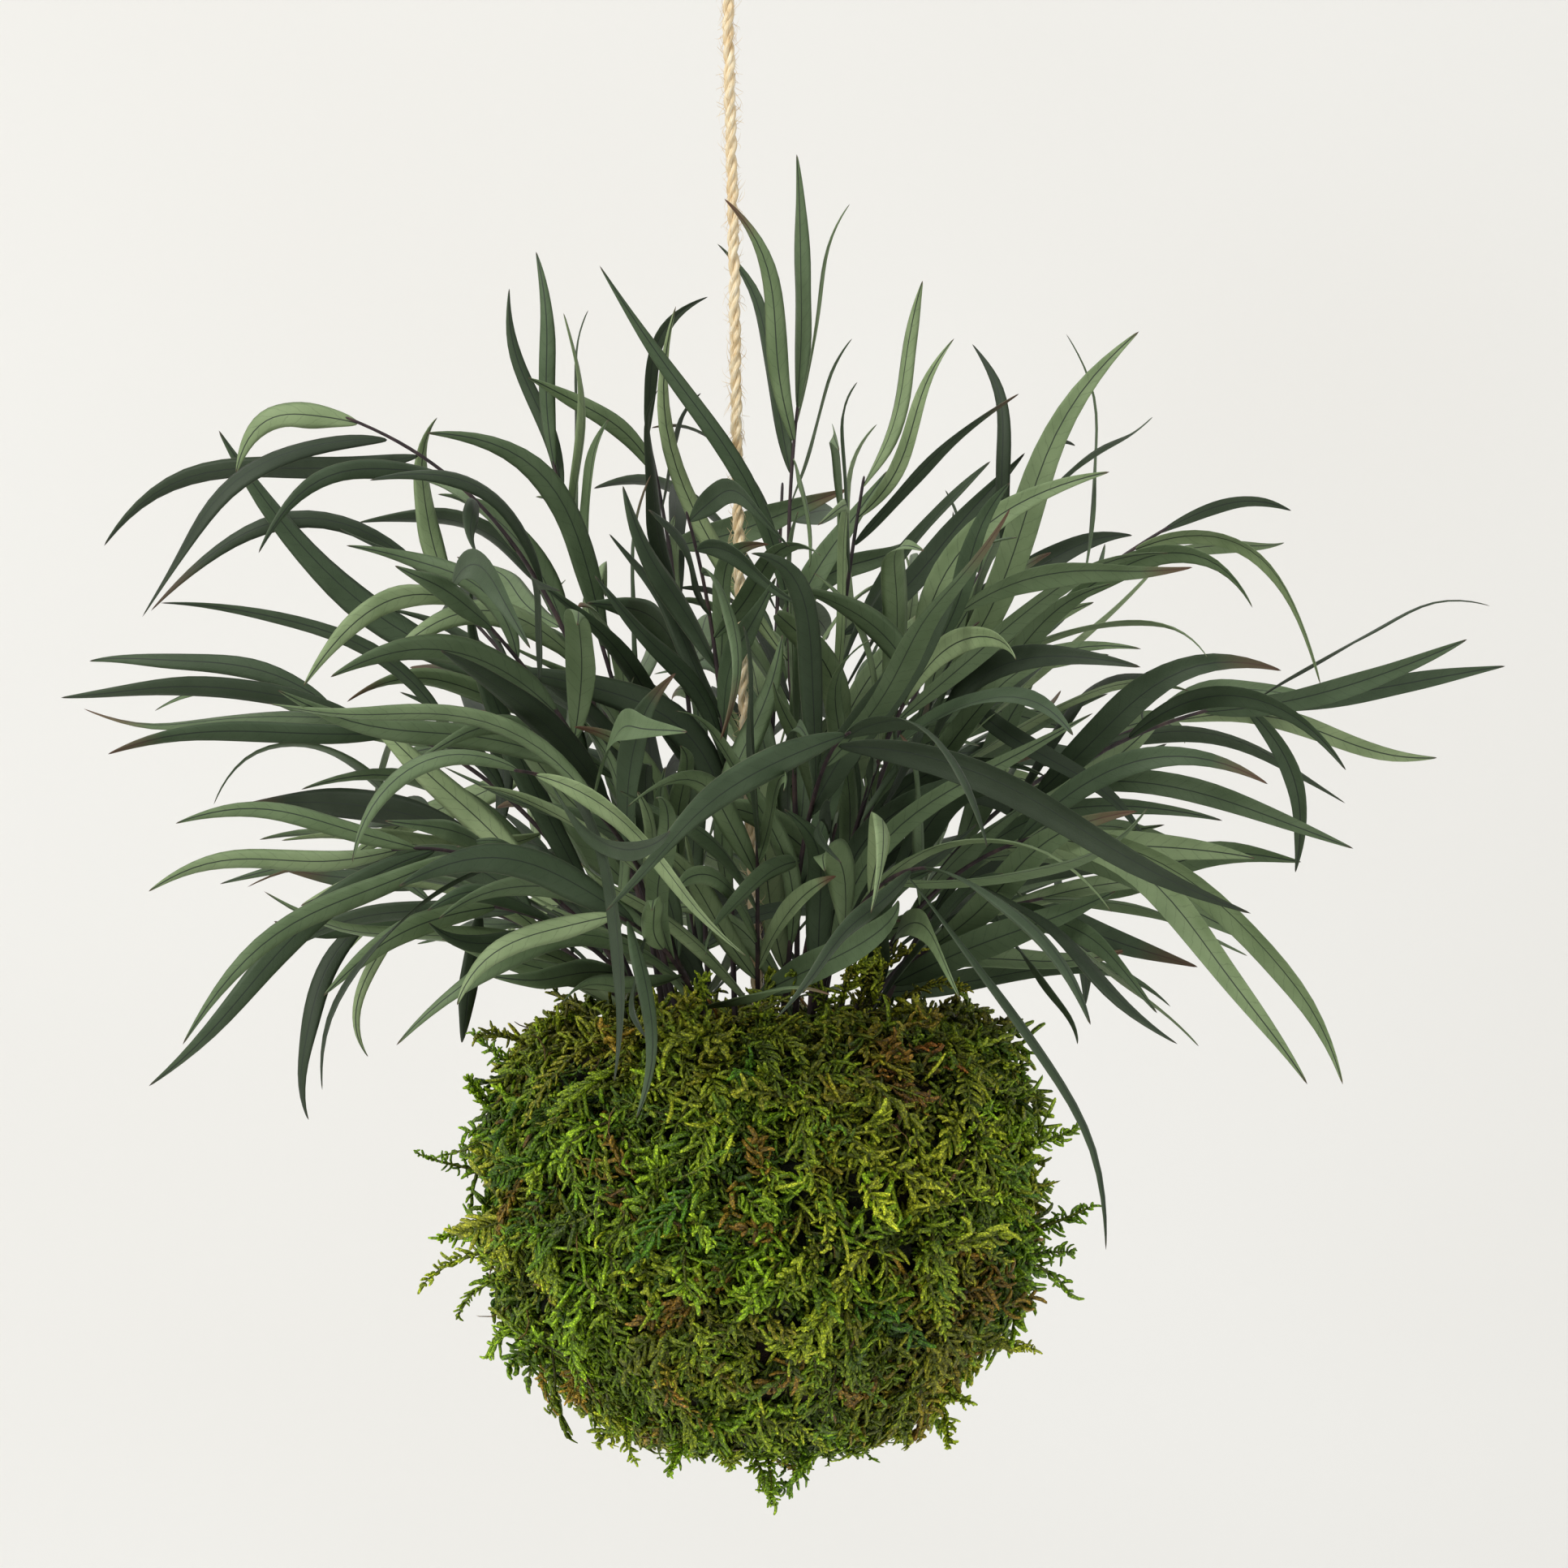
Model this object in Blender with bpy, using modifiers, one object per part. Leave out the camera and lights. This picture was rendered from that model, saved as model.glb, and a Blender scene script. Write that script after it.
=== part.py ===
"""Kokedama: a moss-covered root ball planted with sprigs of willow eucalyptus, on a jute string.

Metres, +Z up. The origin is the centre of the small flat spot under the ball, the front faces -Y.
The ball is a core of peat with a moss cover round it. Each sprig is one grown piece, a twig with
its leaves, and stands in its own hole in the core. The string runs down through the middle of the
core to a stopper knot below it, and ends at the top in a tied loop.
"""

import math

import bmesh
import bpy
import numpy as np
from mathutils.bvhtree import BVHTree

MM = 0.001
GAP = 0.3 * MM

# The ball: the outline of the moss from the edge of its opening down to the flat spot, as
# (radius, height) in mm.
MOSS_OUTLINE = (
    (46, 114), (53, 111.5), (61, 105), (66, 94), (68.5, 78), (68.5, 60),
    (66, 43), (59, 27), (48, 13), (36, 4), (25, 0), (0, 0),
)
MOSS_THICKNESS = 10 * MM
BALL_STEPS = 28

# The string: its way up from the stopper knot, in mm, bent a little where the foliage leans on it.
STRING_ROUTE = (
    (0, 0, 24), (0, 0, 60), (0, 0, 104), (-1.5, 0, 150), (-4, -1, 200),
    (-5.2, -1, 250), (-6, 0, 300), (-7, 0, 340), (-7.6, 0, 372),
)
STRING_RADIUS = 1.6 * MM
STRING_POINTS = 60
STRING_BORE = 2.6 * MM
KNOT_RADIUS, KNOT_FLATNESS = 4.2 * MM, 0.9
POCKET_RADIUS, POCKET_TOP = 5.2 * MM, 25 * MM
LOOP_FOOT, LOOP_WIDTH, LOOP_HEIGHT = 2.0 * MM, 6.5 * MM, 20 * MM
LOOP_POINTS = 17

# The sprigs. Each has a name, the end of its twig in mm, the slope of that end in degrees above
# the horizon, the number of leaves that fill it out, and the leaves that give it its outline:
# (place along the twig, tip in mm, arch, width in mm). Arch is the rise over the leaf's length.
SPRIGS = (
    ("crown", (10, 5, 263), 82, 8, (
        (0.98, (11, 2, 324), 0.02, 6.4), (0.93, (-8, -9, 313), 0.06, 6.0),
        (0.88, (-2, 14, 303), 0.06, 6.2), (0.955, (18, 9, 313), -0.05, 4.6),
        (0.83, (19, 16, 280), -0.06, 4.6), (0.905, (14, -16, 220), 0.16, 6.4),
        (0.66, (-41, -14, 296), 0.05, 6.0), (0.58, (-20, -10, 287), -0.14, 5.4))),
    ("upper_left", (-51, 10, 249), 78, 8, (
        (0.98, (-56, 8, 301), 0.03, 5.0), (0.93, (-62, 18, 292), -0.03, 4.6),
        (0.88, (-49, -6, 284), 0.10, 6.8), (0.83, (-47, 24, 289), 0.08, 3.6),
        (0.77, (-39, -14, 257), 0.12, 6.8))),
    ("left_arch", (-100, -22, 257), 20, 7, (
        (0.98, (-127, -18, 243), 0.30, 7.5), (0.93, (-143, -34, 206), 0.26, 7.5),
        (0.88, (-162, 0, 227), 0.10, 6.5), (0.83, (-120, -46, 222), 0.22, 5.5),
        (0.77, (-70, -36, 222), 0.20, 6.0))),
    ("left_back", (-84, 45, 221), 40, 8, (
        (0.72, (-135, 26, 258), -0.12, 9.5), (0.92, (-86, 44, 262), -0.10, 7.0),
        (0.98, (-153, 36, 208), 0.28, 5.5))),
    ("left_mid", (-107, 0, 187), 12, 6, (
        (0.98, (-168, 8, 201), 0.07, 6.0), (0.93, (-171, -14, 186), 0.09, 6.0),
        (0.88, (-165, 20, 177), 0.06, 5.6), (0.83, (-160, -32, 175), 0.04, 6.0),
        (0.77, (-155, 40, 188), 0.08, 5.4), (0.70, (-147, -8, 214), 0.16, 4.4))),
    ("left_low", (-88, -40, 152), -6, 6, (
        (0.98, (-149, -26, 141), 0.05, 6.0), (0.93, (-140, -60, 157), 0.10, 6.0),
        (0.88, (-142, -62, 92), 0.10, 7.6), (0.82, (-134, -82, 106), 0.12, 6.5),
        (0.72, (-110, -64, 96), 0.14, 6.0))),
    ("left_drop", (-96, 22, 136), -18, 6, (
        (0.98, (-116, 10, 82), 0.18, 6.0), (0.93, (-113, 42, 92), 0.16, 4.0),
        (0.88, (-99, 30, 97), 0.14, 3.6), (0.83, (-133, 46, 142), 0.16, 5.0),
        (0.70, (-72, 8, 101), 0.20, 6.4))),
    ("upper_mid", (-28, 18, 257), 75, 11, (
        (0.98, (-12, 13, 289), 0.20, 4.2), (0.92, (-58, 2, 269), 0.08, 5.5),
        (0.86, (-18, 22, 266), 0.08, 6.0))),
    ("upper_right_mid", (26, -8, 243), 80, 12, (
        (0.98, (42, -10, 292), -0.04, 6.5), (0.93, (46, -22, 277), -0.05, 4.6),
        (0.88, (65, -14, 263), 0.06, 5.5), (0.83, (18, -32, 265), 0.06, 6.0))),
    ("upper_right", (71, 10, 239), 58, 11, (
        (0.60, (95, 0, 281), 0.03, 9.5), (0.87, (54, 27, 276), 0.22, 4.6),
        (0.92, (77, 32, 257), 0.16, 5.5), (0.98, (100, 22, 255), 0.14, 5.5))),
    ("right_arch", (101, -5, 231), 30, 9, (
        (0.98, (132, 12, 236), 0.12, 4.6), (0.93, (136, -26, 190), 0.34, 6.5),
        (0.88, (134, 26, 224), 0.08, 5.5), (0.83, (86, 24, 281), -0.16, 5.5),
        (0.77, (124, -44, 212), 0.20, 7.0))),
    ("far_right", (126, 12, 189), 8, 6, (
        (0.98, (181, 24, 220), 0.02, 4.6), (0.88, (176, 2, 204), -0.05, 6.8),
        (0.93, (187, -14, 199), -0.05, 6.8), (0.83, (175, 36, 173), 0.04, 6.0),
        (0.955, (129, 34, 144), 0.12, 5.4), (0.74, (146, -22, 171), 0.24, 6.5))),
    ("right_low", (72, -40, 156), 8, 6, (
        (0.98, (147, -70, 99), 0.12, 9.4), (0.92, (130, -96, 99), 0.12, 8.6),
        (0.68, (99, -84, 103), 0.08, 8.4), (0.84, (122, -30, 150), 0.03, 8.6),
        (0.76, (128, -8, 128), 0.08, 7.0), (0.88, (124, -52, 168), 0.20, 7.0))),
    ("front", (22, -78, 180), 6, 6, (
        (0.98, (-31, -112, 135), 0.14, 9.5), (0.93, (56, -126, 153), 0.24, 7.5),
        (0.87, (112, -104, 134), 0.08, 9.6))),
    ("front_left", (-75, -52, 217), 40, 9, (
        (0.98, (-56, -98, 200), 0.22, 8.5), (0.87, (-83, -78, 224), 0.10, 6.5),
        (0.93, (-108, -74, 190), 0.22, 6.5))),
    ("front_low_left", (-57, -84, 171), 2, 6, (
        (0.93, (-6, -128, 123), 0.10, 7.5), (0.88, (-17, -134, 159), -0.16, 7.0),
        (0.80, (-28, -112, 97), 0.14, 7.0), (0.98, (-97, -112, 150), 0.26, 6.5))),
    ("front_low_right", (40, -80, 148), 0, 6, (
        (0.87, (89, -112, 64), 0.05, 5.0), (0.98, (78, -128, 112), 0.14, 8.0),
        (0.92, (11, -116, 112), 0.12, 5.5))),
    ("front_mid", (-17, -46, 233), 50, 11, (
        (0.98, (3, -78, 222), 0.30, 7.5), (0.87, (-3, -88, 178), 0.22, 6.5),
        (0.92, (8, -70, 209), 0.12, 6.5))),
    ("mid_right", (50, -46, 211), 45, 12, (
        (0.80, (0, -66, 217), 0.10, 8.5), (0.98, (104, -56, 216), 0.12, 8.0),
        (0.90, (63, -66, 240), 0.06, 6.5))),
    ("back_left_high", (-60, 62, 225), 50, 10, ()),
    ("back_high", (6, 58, 244), 68, 11, ()),
    ("back_right_high", (60, 62, 228), 50, 10, ()),
    ("back_right", (106, 66, 186), 18, 9, ()),
    ("back_mid_right", (52, 108, 178), 16, 9, ()),
    ("back_mid", (2, 116, 190), 20, 9, ()),
    ("back_mid_left", (-64, 100, 182), 15, 9, ()),
    ("back_left", (-104, 72, 164), 8, 9, ()),
    ("back_low", (26, 102, 138), -6, 8, ()),
    ("back_low_left", (-36, 96, 136), -6, 8, ()),
    ("back_low_right", (88, 78, 138), -6, 8, ()),
    ("short_middle", (0, -50, 156), 58, 11, ()),
    ("short_right", (19, -35, 158), 62, 11, ()),
    ("short_left", (-25, -14, 162), 62, 11, ()),
    ("short_back", (12, 24, 172), 66, 11, ()),
    ("low_front_left", (-34, -74, 137), 12, 9, (
        (0.98, (-72, -88, 116), 0.14, 7.0), (0.90, (-24, -104, 88), 0.22, 6.0))),
    ("low_left", (-65, -21, 138), 8, 9, (
        (0.98, (-104, -46, 116), 0.12, 6.6), (0.90, (-120, -4, 124), 0.10, 6.0))),
    ("low_right", (70, -20, 140), 10, 9, (
        (0.98, (118, -34, 124), 0.12, 7.4), (0.90, (92, -58, 112), 0.14, 7.0))),
)
TWIG_FOOT_HEIGHT = 78 * MM
TWIG_INNER, TWIG_SPREAD = 8 * MM, 0.105
TWIG_RADII = (1.1 * MM, 0.55 * MM)
TWIG_POINTS = 9
HOLE_PLAY = 0.4 * MM
BURIED_POINTS = 4

# The leaves: rings of a blade at these places along it, and how thick it is beside its width.
BLADE_PLACES = (0.15, 0.38, 0.62, 0.84)
BLADE_START = 0.15
BLADE_KEEL = 0.35 * MM, 0.5 * MM
WIDTH_SHARE = 0.92
PROOF_PLACES = (0.25, 0.35, 0.45, 0.56, 0.68, 0.8, 0.92)
CLEARANCE = 0.7 * MM

# Laying them: how a try strays from the one before, and what a filling leaf may measure. A blade
# that twists by more than this would fold its thin top through its keel.
WANTED_SLIP = np.array([0.25, 1.0, 0.25]) * MM
WANTED_ARCH_SLIP, WANTED_ROLL_SLIP = 0.004, 0.03
MOST_TWIST = 0.7
FILLING_FIRST, FILLING_LAST, WANTED_SHARE = 0.27, 0.98, 0.055
FILLING_LENGTH, FILLING_WIDTH, FILLING_ARCH = (0.046, 0.092), (5.4, 9.2), (-0.05, 0.28)
FOLIAGE_FLOOR = 0.105
MOST_TRIES = 40
LAYOUT_SEED = 11
FOLIAGE_CENTRE, FOLIAGE_REACH = np.array([0.004, 0, 0.155]), np.array([0.158, 0.15, 0.135])

LEAF_COLOUR = (0.10, 0.16, 0.11, 1)
MOSS_COLOUR = (0.13, 0.22, 0.03, 1)
PEAT_COLOUR = (0.05, 0.03, 0.018, 1)
JUTE_COLOUR = (0.72, 0.55, 0.32, 1)


def unit(vectors):
    return vectors / np.linalg.norm(vectors, axis=-1, keepdims=True)


def twig_path(end, slope, count=TWIG_POINTS):
    """A cubic curve up out of the core and over to the twig's end, which it reaches at this slope."""
    end = np.array(end) * MM
    reach = math.hypot(end[0], end[1])
    out = np.array([end[0], end[1], 0]) / reach
    up = np.array([0, 0, 1.0])
    foot = out * (TWIG_INNER + TWIG_SPREAD * reach) + up * TWIG_FOOT_HEIGHT
    size = np.linalg.norm(end - foot)
    lean = 0.05 + 0.17 * reach / size
    last = out * math.cos(math.radians(slope)) + up * math.sin(math.radians(slope))
    handles = foot, foot + unit(out * lean + up) * 0.5 * size, end - last * 0.3 * size, end
    t = np.linspace(0, 1, count)[:, None]
    weights = (1 - t) ** 3, 3 * t * (1 - t) ** 2, 3 * t * t * (1 - t), t ** 3
    return sum(weight * handle for weight, handle in zip(weights, handles))


def point_on(path, place):
    """The point and the direction at this share of the path's points."""
    spot = place * (len(path) - 1)
    low = min(int(spot), len(path) - 2)
    step = path[low + 1] - path[low]
    return path[low] + step * (spot - low), unit(step)


def blade_frame(leaf, places):
    """Centre, tangent, across and face of a leaf at each place: the chord plus a parabola of rise."""
    base, tip, arch, roll, twist, _ = leaf
    u = np.array(places)[:, None]
    chord = tip - base
    length = np.linalg.norm(chord)
    side = unit(np.cross(chord, (0.05, -0.3, 1.0)))
    rise = np.cross(side, chord / length) * arch * length
    centre = base + chord * u + rise * 4 * u * (1 - u)
    tangent = unit(chord + rise * 4 * (1 - 2 * u))
    flat = np.cross(side, tangent)
    angle = roll + twist * u
    across = np.cos(angle) * side + np.sin(angle) * flat
    return centre, tangent, across, np.cross(tangent, across)


def half_width(width, places):
    """A narrow lance shape: quick to widen, widest before the middle and drawn out to the tip."""
    u = np.array(places)[:, None]
    return width * 0.5 * 2.67 * u ** 0.6 * (1 - u) ** 0.85


def spindle(start, rings, end):
    """Points and faces of a closed body through rings of points, pointed at both ends."""
    count, around = rings.shape[:2]
    points = [tuple(start), *map(tuple, rings.reshape(-1, 3)), tuple(end)]
    faces = []
    for j in range(around):
        k = (j + 1) % around
        faces.append((0, 1 + k, 1 + j))
        for i in range(count - 1):
            row, above = 1 + i * around, 1 + (i + 1) * around
            faces.append((row + j, row + k, above + k, above + j))
        top = 1 + (count - 1) * around
        faces.append((top + j, top + k, len(points) - 1))
    return points, faces


def blade(leaf, places, spare=0.0):
    """A leaf's blade: flat on top with a shallow keel below, and spare added all round."""
    centre, _, across, face = blade_frame(leaf, places)
    half = half_width(leaf[5], places) + spare
    keel = BLADE_KEEL[0] + BLADE_KEEL[1] * half / half.max() + 2 * spare
    rings = np.stack([centre - across * half + face * spare,
                      centre - face * keel,
                      centre + across * half + face * spare], axis=1)
    first = blade_frame(leaf, (places[0] - BLADE_START,))[0][0]
    return spindle(first, rings, leaf[1])


def prism(path, radius):
    """A square tube along a path, as a stand-in for a round one where leaves are laid clear of it."""
    tangent = unit(np.gradient(path, axis=0))
    side = unit(np.cross(tangent, (0.3, 1.0, 0.1)))
    other = np.cross(tangent, side)
    rings = path[:, None] + radius * np.stack([side, other, -side, -other], axis=1)
    return spindle(path[0], rings[:, ::-1], path[-1])


class Room:
    """The bodies laid so far, for finding a place for the next one that touches none of them."""

    def __init__(self, bodies):
        self.trees, self.lows, self.highs, self.owners = [], [], [], []
        for body in bodies:
            self.add(*body)

    def add(self, points, faces, owner=None):
        self.trees.append(BVHTree.FromPolygons(points, faces))
        self.lows.append(np.min(points, axis=0))
        self.highs.append(np.max(points, axis=0))
        self.owners.append(owner)

    def clear_of(self, points, faces, but=None):
        """Whether a new body touches none of those here, but for those of one owner."""
        low, high = np.min(points, axis=0), np.max(points, axis=0)
        near = ((np.array(self.lows) < high) & (np.array(self.highs) > low)).all(axis=1)
        tree = BVHTree.FromPolygons(points, faces)
        return not any(self.trees[i].overlap(tree) for i in np.flatnonzero(near)
                       if but is None or self.owners[i] != but)


def wanted_leaf(path, row, slip, rng):
    """A leaf of the sprig's own list, moved a little more with each try, mostly in depth."""
    place, tip, arch, width = row
    base, _ = point_on(path, place)
    shift = rng.normal(size=5)
    tip = np.array(tip) * MM + shift[:3] * slip * WANTED_SLIP
    roll = 1.1 + 0.3 * shift[3] + WANTED_ROLL_SLIP * slip * shift[4]
    arch += WANTED_ARCH_SLIP * slip * shift[4]
    twist = np.clip(0.5 * shift[3], -MOST_TWIST, MOST_TWIST)
    return base, tip, arch, roll, twist, width * WIDTH_SHARE * MM


def filling_leaf(path, place, hand, rng):
    """A leaf that grows out of the twig to this hand (+1 or -1) and droops, drawn anew each try."""
    base, along = point_on(path, place + 0.01 * rng.normal())
    sideways = unit(np.cross(along, (0.02, 0.01, 1.0)))
    outward = unit(np.array([base[0], base[1], 0.02]))
    stray = 0.2 + 0.45 * rng.random() ** 2
    away = unit(0.7 * along + (0.45 + 0.5 * rng.random()) * hand * sideways + 0.3 * outward
                + stray * rng.normal(size=3) - (0, 0, 0.12))
    tip = base + away * rng.uniform(*FILLING_LENGTH)
    arch, width = rng.uniform(*FILLING_ARCH), rng.uniform(*FILLING_WIDTH) * MM
    return base, tip, arch, rng.uniform(0.3, 2.6), rng.uniform(-MOST_TWIST, MOST_TWIST), width


def within_foliage(tip):
    spread = (((tip - FOLIAGE_CENTRE) / FOLIAGE_REACH) ** 2).sum()
    return spread < 1 and tip[2] > FOLIAGE_FLOOR


def lay_leaves(obstacles):
    """Finds every sprig's leaves, clear of the obstacles and of each other: {sprig: [leaf, ...]}.

    Each leaf is tried twice: its outer part with room to spare, and the whole thin blade against
    all but its own twig.
    """
    rng = np.random.default_rng(LAYOUT_SEED)
    paths = {name: twig_path(end, slope) for name, end, slope, _, _ in SPRIGS}
    spacious, whole = Room(obstacles), Room(obstacles)
    for name, path in paths.items():
        spacious.add(*prism(path, TWIG_RADII[0]))
        whole.add(*prism(path, TWIG_RADII[0]), name)
    leaves = {name: [] for name in paths}

    def settle(name, draw, wanted):
        for tries in range(MOST_TRIES):
            leaf = draw(tries)
            proof, thin = blade(leaf, PROOF_PLACES, CLEARANCE), blade(leaf, BLADE_PLACES)
            inside = wanted or within_foliage(leaf[1])
            if inside and spacious.clear_of(*proof) and whole.clear_of(*thin, name):
                leaves[name].append(leaf)
                spacious.add(*proof)
                whole.add(*thin)
                return

    for name, _, _, _, rows in SPRIGS:
        for row in rows:
            settle(name, lambda slip: wanted_leaf(paths[name], row, slip, rng), True)
    for name, _, _, filling, rows in SPRIGS:
        for k in range(filling):
            highest = FILLING_LAST - WANTED_SHARE * len(rows)
            place = FILLING_FIRST + (highest - FILLING_FIRST) * (k + 0.5) / filling
            hand = 1 - 2 * (k % 2)
            settle(name, lambda _: filling_leaf(paths[name], place, hand, rng), False)
    return paths, leaves


def lathe(outline):
    """Points and faces of an outline turned about the Z axis."""
    profile = np.array(outline) * MM
    turn = np.linspace(0, 2 * math.pi, BALL_STEPS, endpoint=False)
    ring = np.stack([np.cos(turn), np.sin(turn)], axis=1)
    points = [(*(radius * spot), height) for radius, height in profile for spot in ring]
    starts = [i * BALL_STEPS for i in range(len(profile) - 1)]
    faces = [(start + j, start + (j + 1) % BALL_STEPS, start + BALL_STEPS + (j + 1) % BALL_STEPS,
              start + BALL_STEPS + j) for start in starts for j in range(BALL_STEPS)]
    return points, faces


def moss_cover_body():
    """The moss cover as a closed body: up its inside, over the rim and down its outside."""
    inner = inset(MOSS_OUTLINE, MOSS_THICKNESS / MM)
    return lathe([*inner[::-1], *MOSS_OUTLINE])


def outline_points(outline):
    return [(radius * MM, 0, height * MM) for radius, height in outline]


def inset(outline, depth):
    """The outline moved inwards by this depth, each point along the mean normal of its two edges."""
    points = np.array(outline, float)
    edges = unit(np.diff(points, axis=0))
    normals = np.stack([-edges[:, 1], edges[:, 0]], axis=1)
    ends = unit(np.vstack([normals[:1], normals[:-1] + normals[1:], normals[-1:]]))
    return [tuple(point) for point in points - ends * depth]


def material(name, colour, roughness):
    made = bpy.data.materials.new(name)
    made.use_nodes = True
    shader = made.node_tree.nodes["Principled BSDF"]
    shader.inputs["Base Color"].default_value = colour
    shader.inputs["Roughness"].default_value = roughness
    made.diffuse_color = colour
    return made


def new_object(name, data, collection, made_of=None):
    obj = bpy.data.objects.new(name, data)
    collection.objects.link(obj)
    if made_of:
        data.materials.append(made_of)
    return obj


def helper(obj):
    obj.hide_render = True
    obj.display_type = "WIRE"
    return obj


def mesh_object(name, points, faces, collection, made_of=None):
    mesh = bpy.data.meshes.new(name)
    mesh.from_pydata(points, [], faces)
    mesh.validate()
    return new_object(name, mesh, collection, made_of)


def turned(name, outline, collection, made_of):
    """A profile turned about the Z axis, from its upper end down to the axis."""
    edges = [(i, i + 1) for i in range(len(outline) - 1)]
    mesh = bpy.data.meshes.new(name)
    mesh.from_pydata(outline, edges, [])
    obj = new_object(name, mesh, collection, made_of)
    screw = obj.modifiers.new("turn", "SCREW")
    screw.steps = screw.render_steps = BALL_STEPS
    screw.use_merge_vertices = True
    screw.merge_threshold = 0.00005
    screw.use_smooth_shade = True
    return obj


def tube(name, path, radii, collection, made_of=None, sides=1, cyclic=False):
    """A round tube along a path, made by a curve's bevel. sides is the curve's bevel resolution."""
    curve = bpy.data.curves.new(name, "CURVE")
    curve.dimensions = "3D"
    curve.bevel_depth = 1.0
    curve.bevel_resolution = sides
    curve.use_fill_caps = True
    spline = curve.splines.new("POLY")
    spline.points.add(len(path) - 1)
    for point, place, radius in zip(spline.points, path, radii):
        point.co = (*place, 1)
        point.radius = radius
    spline.use_cyclic_u = cyclic
    return new_object(name, curve, collection, made_of)


def as_mesh(curve_object, collection, made_of=None):
    """The same tube as a mesh whose caps are joined to its sides, for use in a Boolean."""
    name = curve_object.name
    graph = bpy.context.evaluated_depsgraph_get()
    mesh = bpy.data.meshes.new_from_object(curve_object.evaluated_get(graph))
    work = bmesh.new()
    work.from_mesh(mesh)
    bmesh.ops.remove_doubles(work, verts=work.verts, dist=0.00001)
    bmesh.ops.recalc_face_normals(work, faces=work.faces)
    work.to_mesh(mesh)
    work.free()
    bpy.data.objects.remove(curve_object)
    mesh.materials.clear()
    obj = new_object(name, mesh, collection, made_of)
    obj.name = name
    return obj


def boolean(obj, operation, target, solver="EXACT"):
    """A Boolean with one object, or with each object of a collection."""
    modifier = obj.modifiers.new(operation.lower(), "BOOLEAN")
    modifier.operation = operation
    modifier.solver = solver
    if isinstance(target, bpy.types.Collection):
        modifier.operand_type = "COLLECTION"
        modifier.collection = target
    else:
        modifier.object = target


def smooth_path(points, count):
    """A Catmull-Rom curve through hand-set points, read at evenly spaced places."""
    p = np.array(points, float) * MM
    p = np.vstack([2 * p[0] - p[1], p, 2 * p[-1] - p[-2]])
    spot = np.linspace(0, len(p) - 3 - 1e-9, count)
    i, t = spot.astype(int), (spot % 1)[:, None]
    a, b, c, d = p[i], p[i + 1], p[i + 2], p[i + 3]
    return 0.5 * (2 * b + (c - a) * t + (2 * a - 5 * b + 4 * c - d) * t ** 2
                  + (3 * b - a - 3 * c + d) * t ** 3)


def knot(name, centre, radius, collection, made_of):
    """A tight knot as one plain body: a ball, a little flatter than it is wide."""
    work = bmesh.new()
    bmesh.ops.create_uvsphere(work, u_segments=12, v_segments=8, radius=radius)
    mesh = bpy.data.meshes.new(name)
    work.to_mesh(mesh)
    work.free()
    obj = new_object(name, mesh, collection, made_of)
    obj.scale = (1, 1, KNOT_FLATNESS)
    obj.location = centre
    return obj


def loop_path(foot):
    """A drop shape: up on one side, over the top and down on the other."""
    a = np.linspace(0, math.pi, LOOP_POINTS)
    swell = LOOP_FOOT + (LOOP_WIDTH - LOOP_FOOT) * np.sin(a)
    rise = np.stack([-np.cos(a) * swell, 0 * a, np.sin(a) * LOOP_HEIGHT], axis=1)
    return foot + rise


def make_ball(parts, moss_green, peat):
    moss = turned("moss_cover", outline_points(MOSS_OUTLINE), parts, moss_green)
    wall = moss.modifiers.new("wall", "SOLIDIFY")
    wall.thickness = MOSS_THICKNESS
    wall.offset = -1
    sides = inset(MOSS_OUTLINE, (MOSS_THICKNESS + 2 * GAP) / MM)
    outline = [(0, sides[0][1]), *sides]
    return turned("root_ball", outline_points(outline), parts, peat)


def make_string(parts, jute, string):
    """The string with its stopper knot below, and its top knot and hanging loop above."""
    tube("hanging_string", string, [STRING_RADIUS] * len(string), parts, jute, sides=2)
    tall = KNOT_RADIUS * KNOT_FLATNESS + GAP
    up = np.array([0, 0, 1.0])
    knot("stopper_knot", string[0] - up * tall, KNOT_RADIUS, parts, jute)
    top = string[-1] + up * tall
    knot("top_knot", top, KNOT_RADIUS, parts, jute)
    path = loop_path(top + up * tall)
    tube("hanging_loop", path, [STRING_RADIUS] * len(path), parts, jute, sides=2)


def make_sprigs(paths, leaves, parts, cutters, leaf_green):
    """Each twig with its blades joined to it, and beside it the cutter of its hole in the core."""
    holes = bpy.data.collections.new("holes")
    cutters.children.link(holes)
    twigs = {}
    for name, path in paths.items():
        radii = np.linspace(*TWIG_RADII, len(path))
        twigs[name] = as_mesh(tube("sprig_" + name, path, radii, parts), parts, leaf_green)
        buried = path[:BURIED_POINTS]
        below = buried[0] + unit(buried[0] - buried[1]) * HOLE_PLAY
        bored = radii[:BURIED_POINTS + 1] + HOLE_PLAY
        hole = tube("hole_" + name, np.vstack([below, buried]), bored, holes)
        helper(as_mesh(hole, holes))
    for name, twig in twigs.items():
        blades = bpy.data.collections.new("blades_" + name)
        cutters.children.link(blades)
        for k, leaf in enumerate(leaves[name]):
            helper(mesh_object(f"blade_{name}_{k}", *blade(leaf, BLADE_PLACES), blades))
        # EXACT leaves open edges where many thin blades start close together on one twig.
        boolean(twig, "UNION", blades, solver="MANIFOLD")
    return holes


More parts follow.
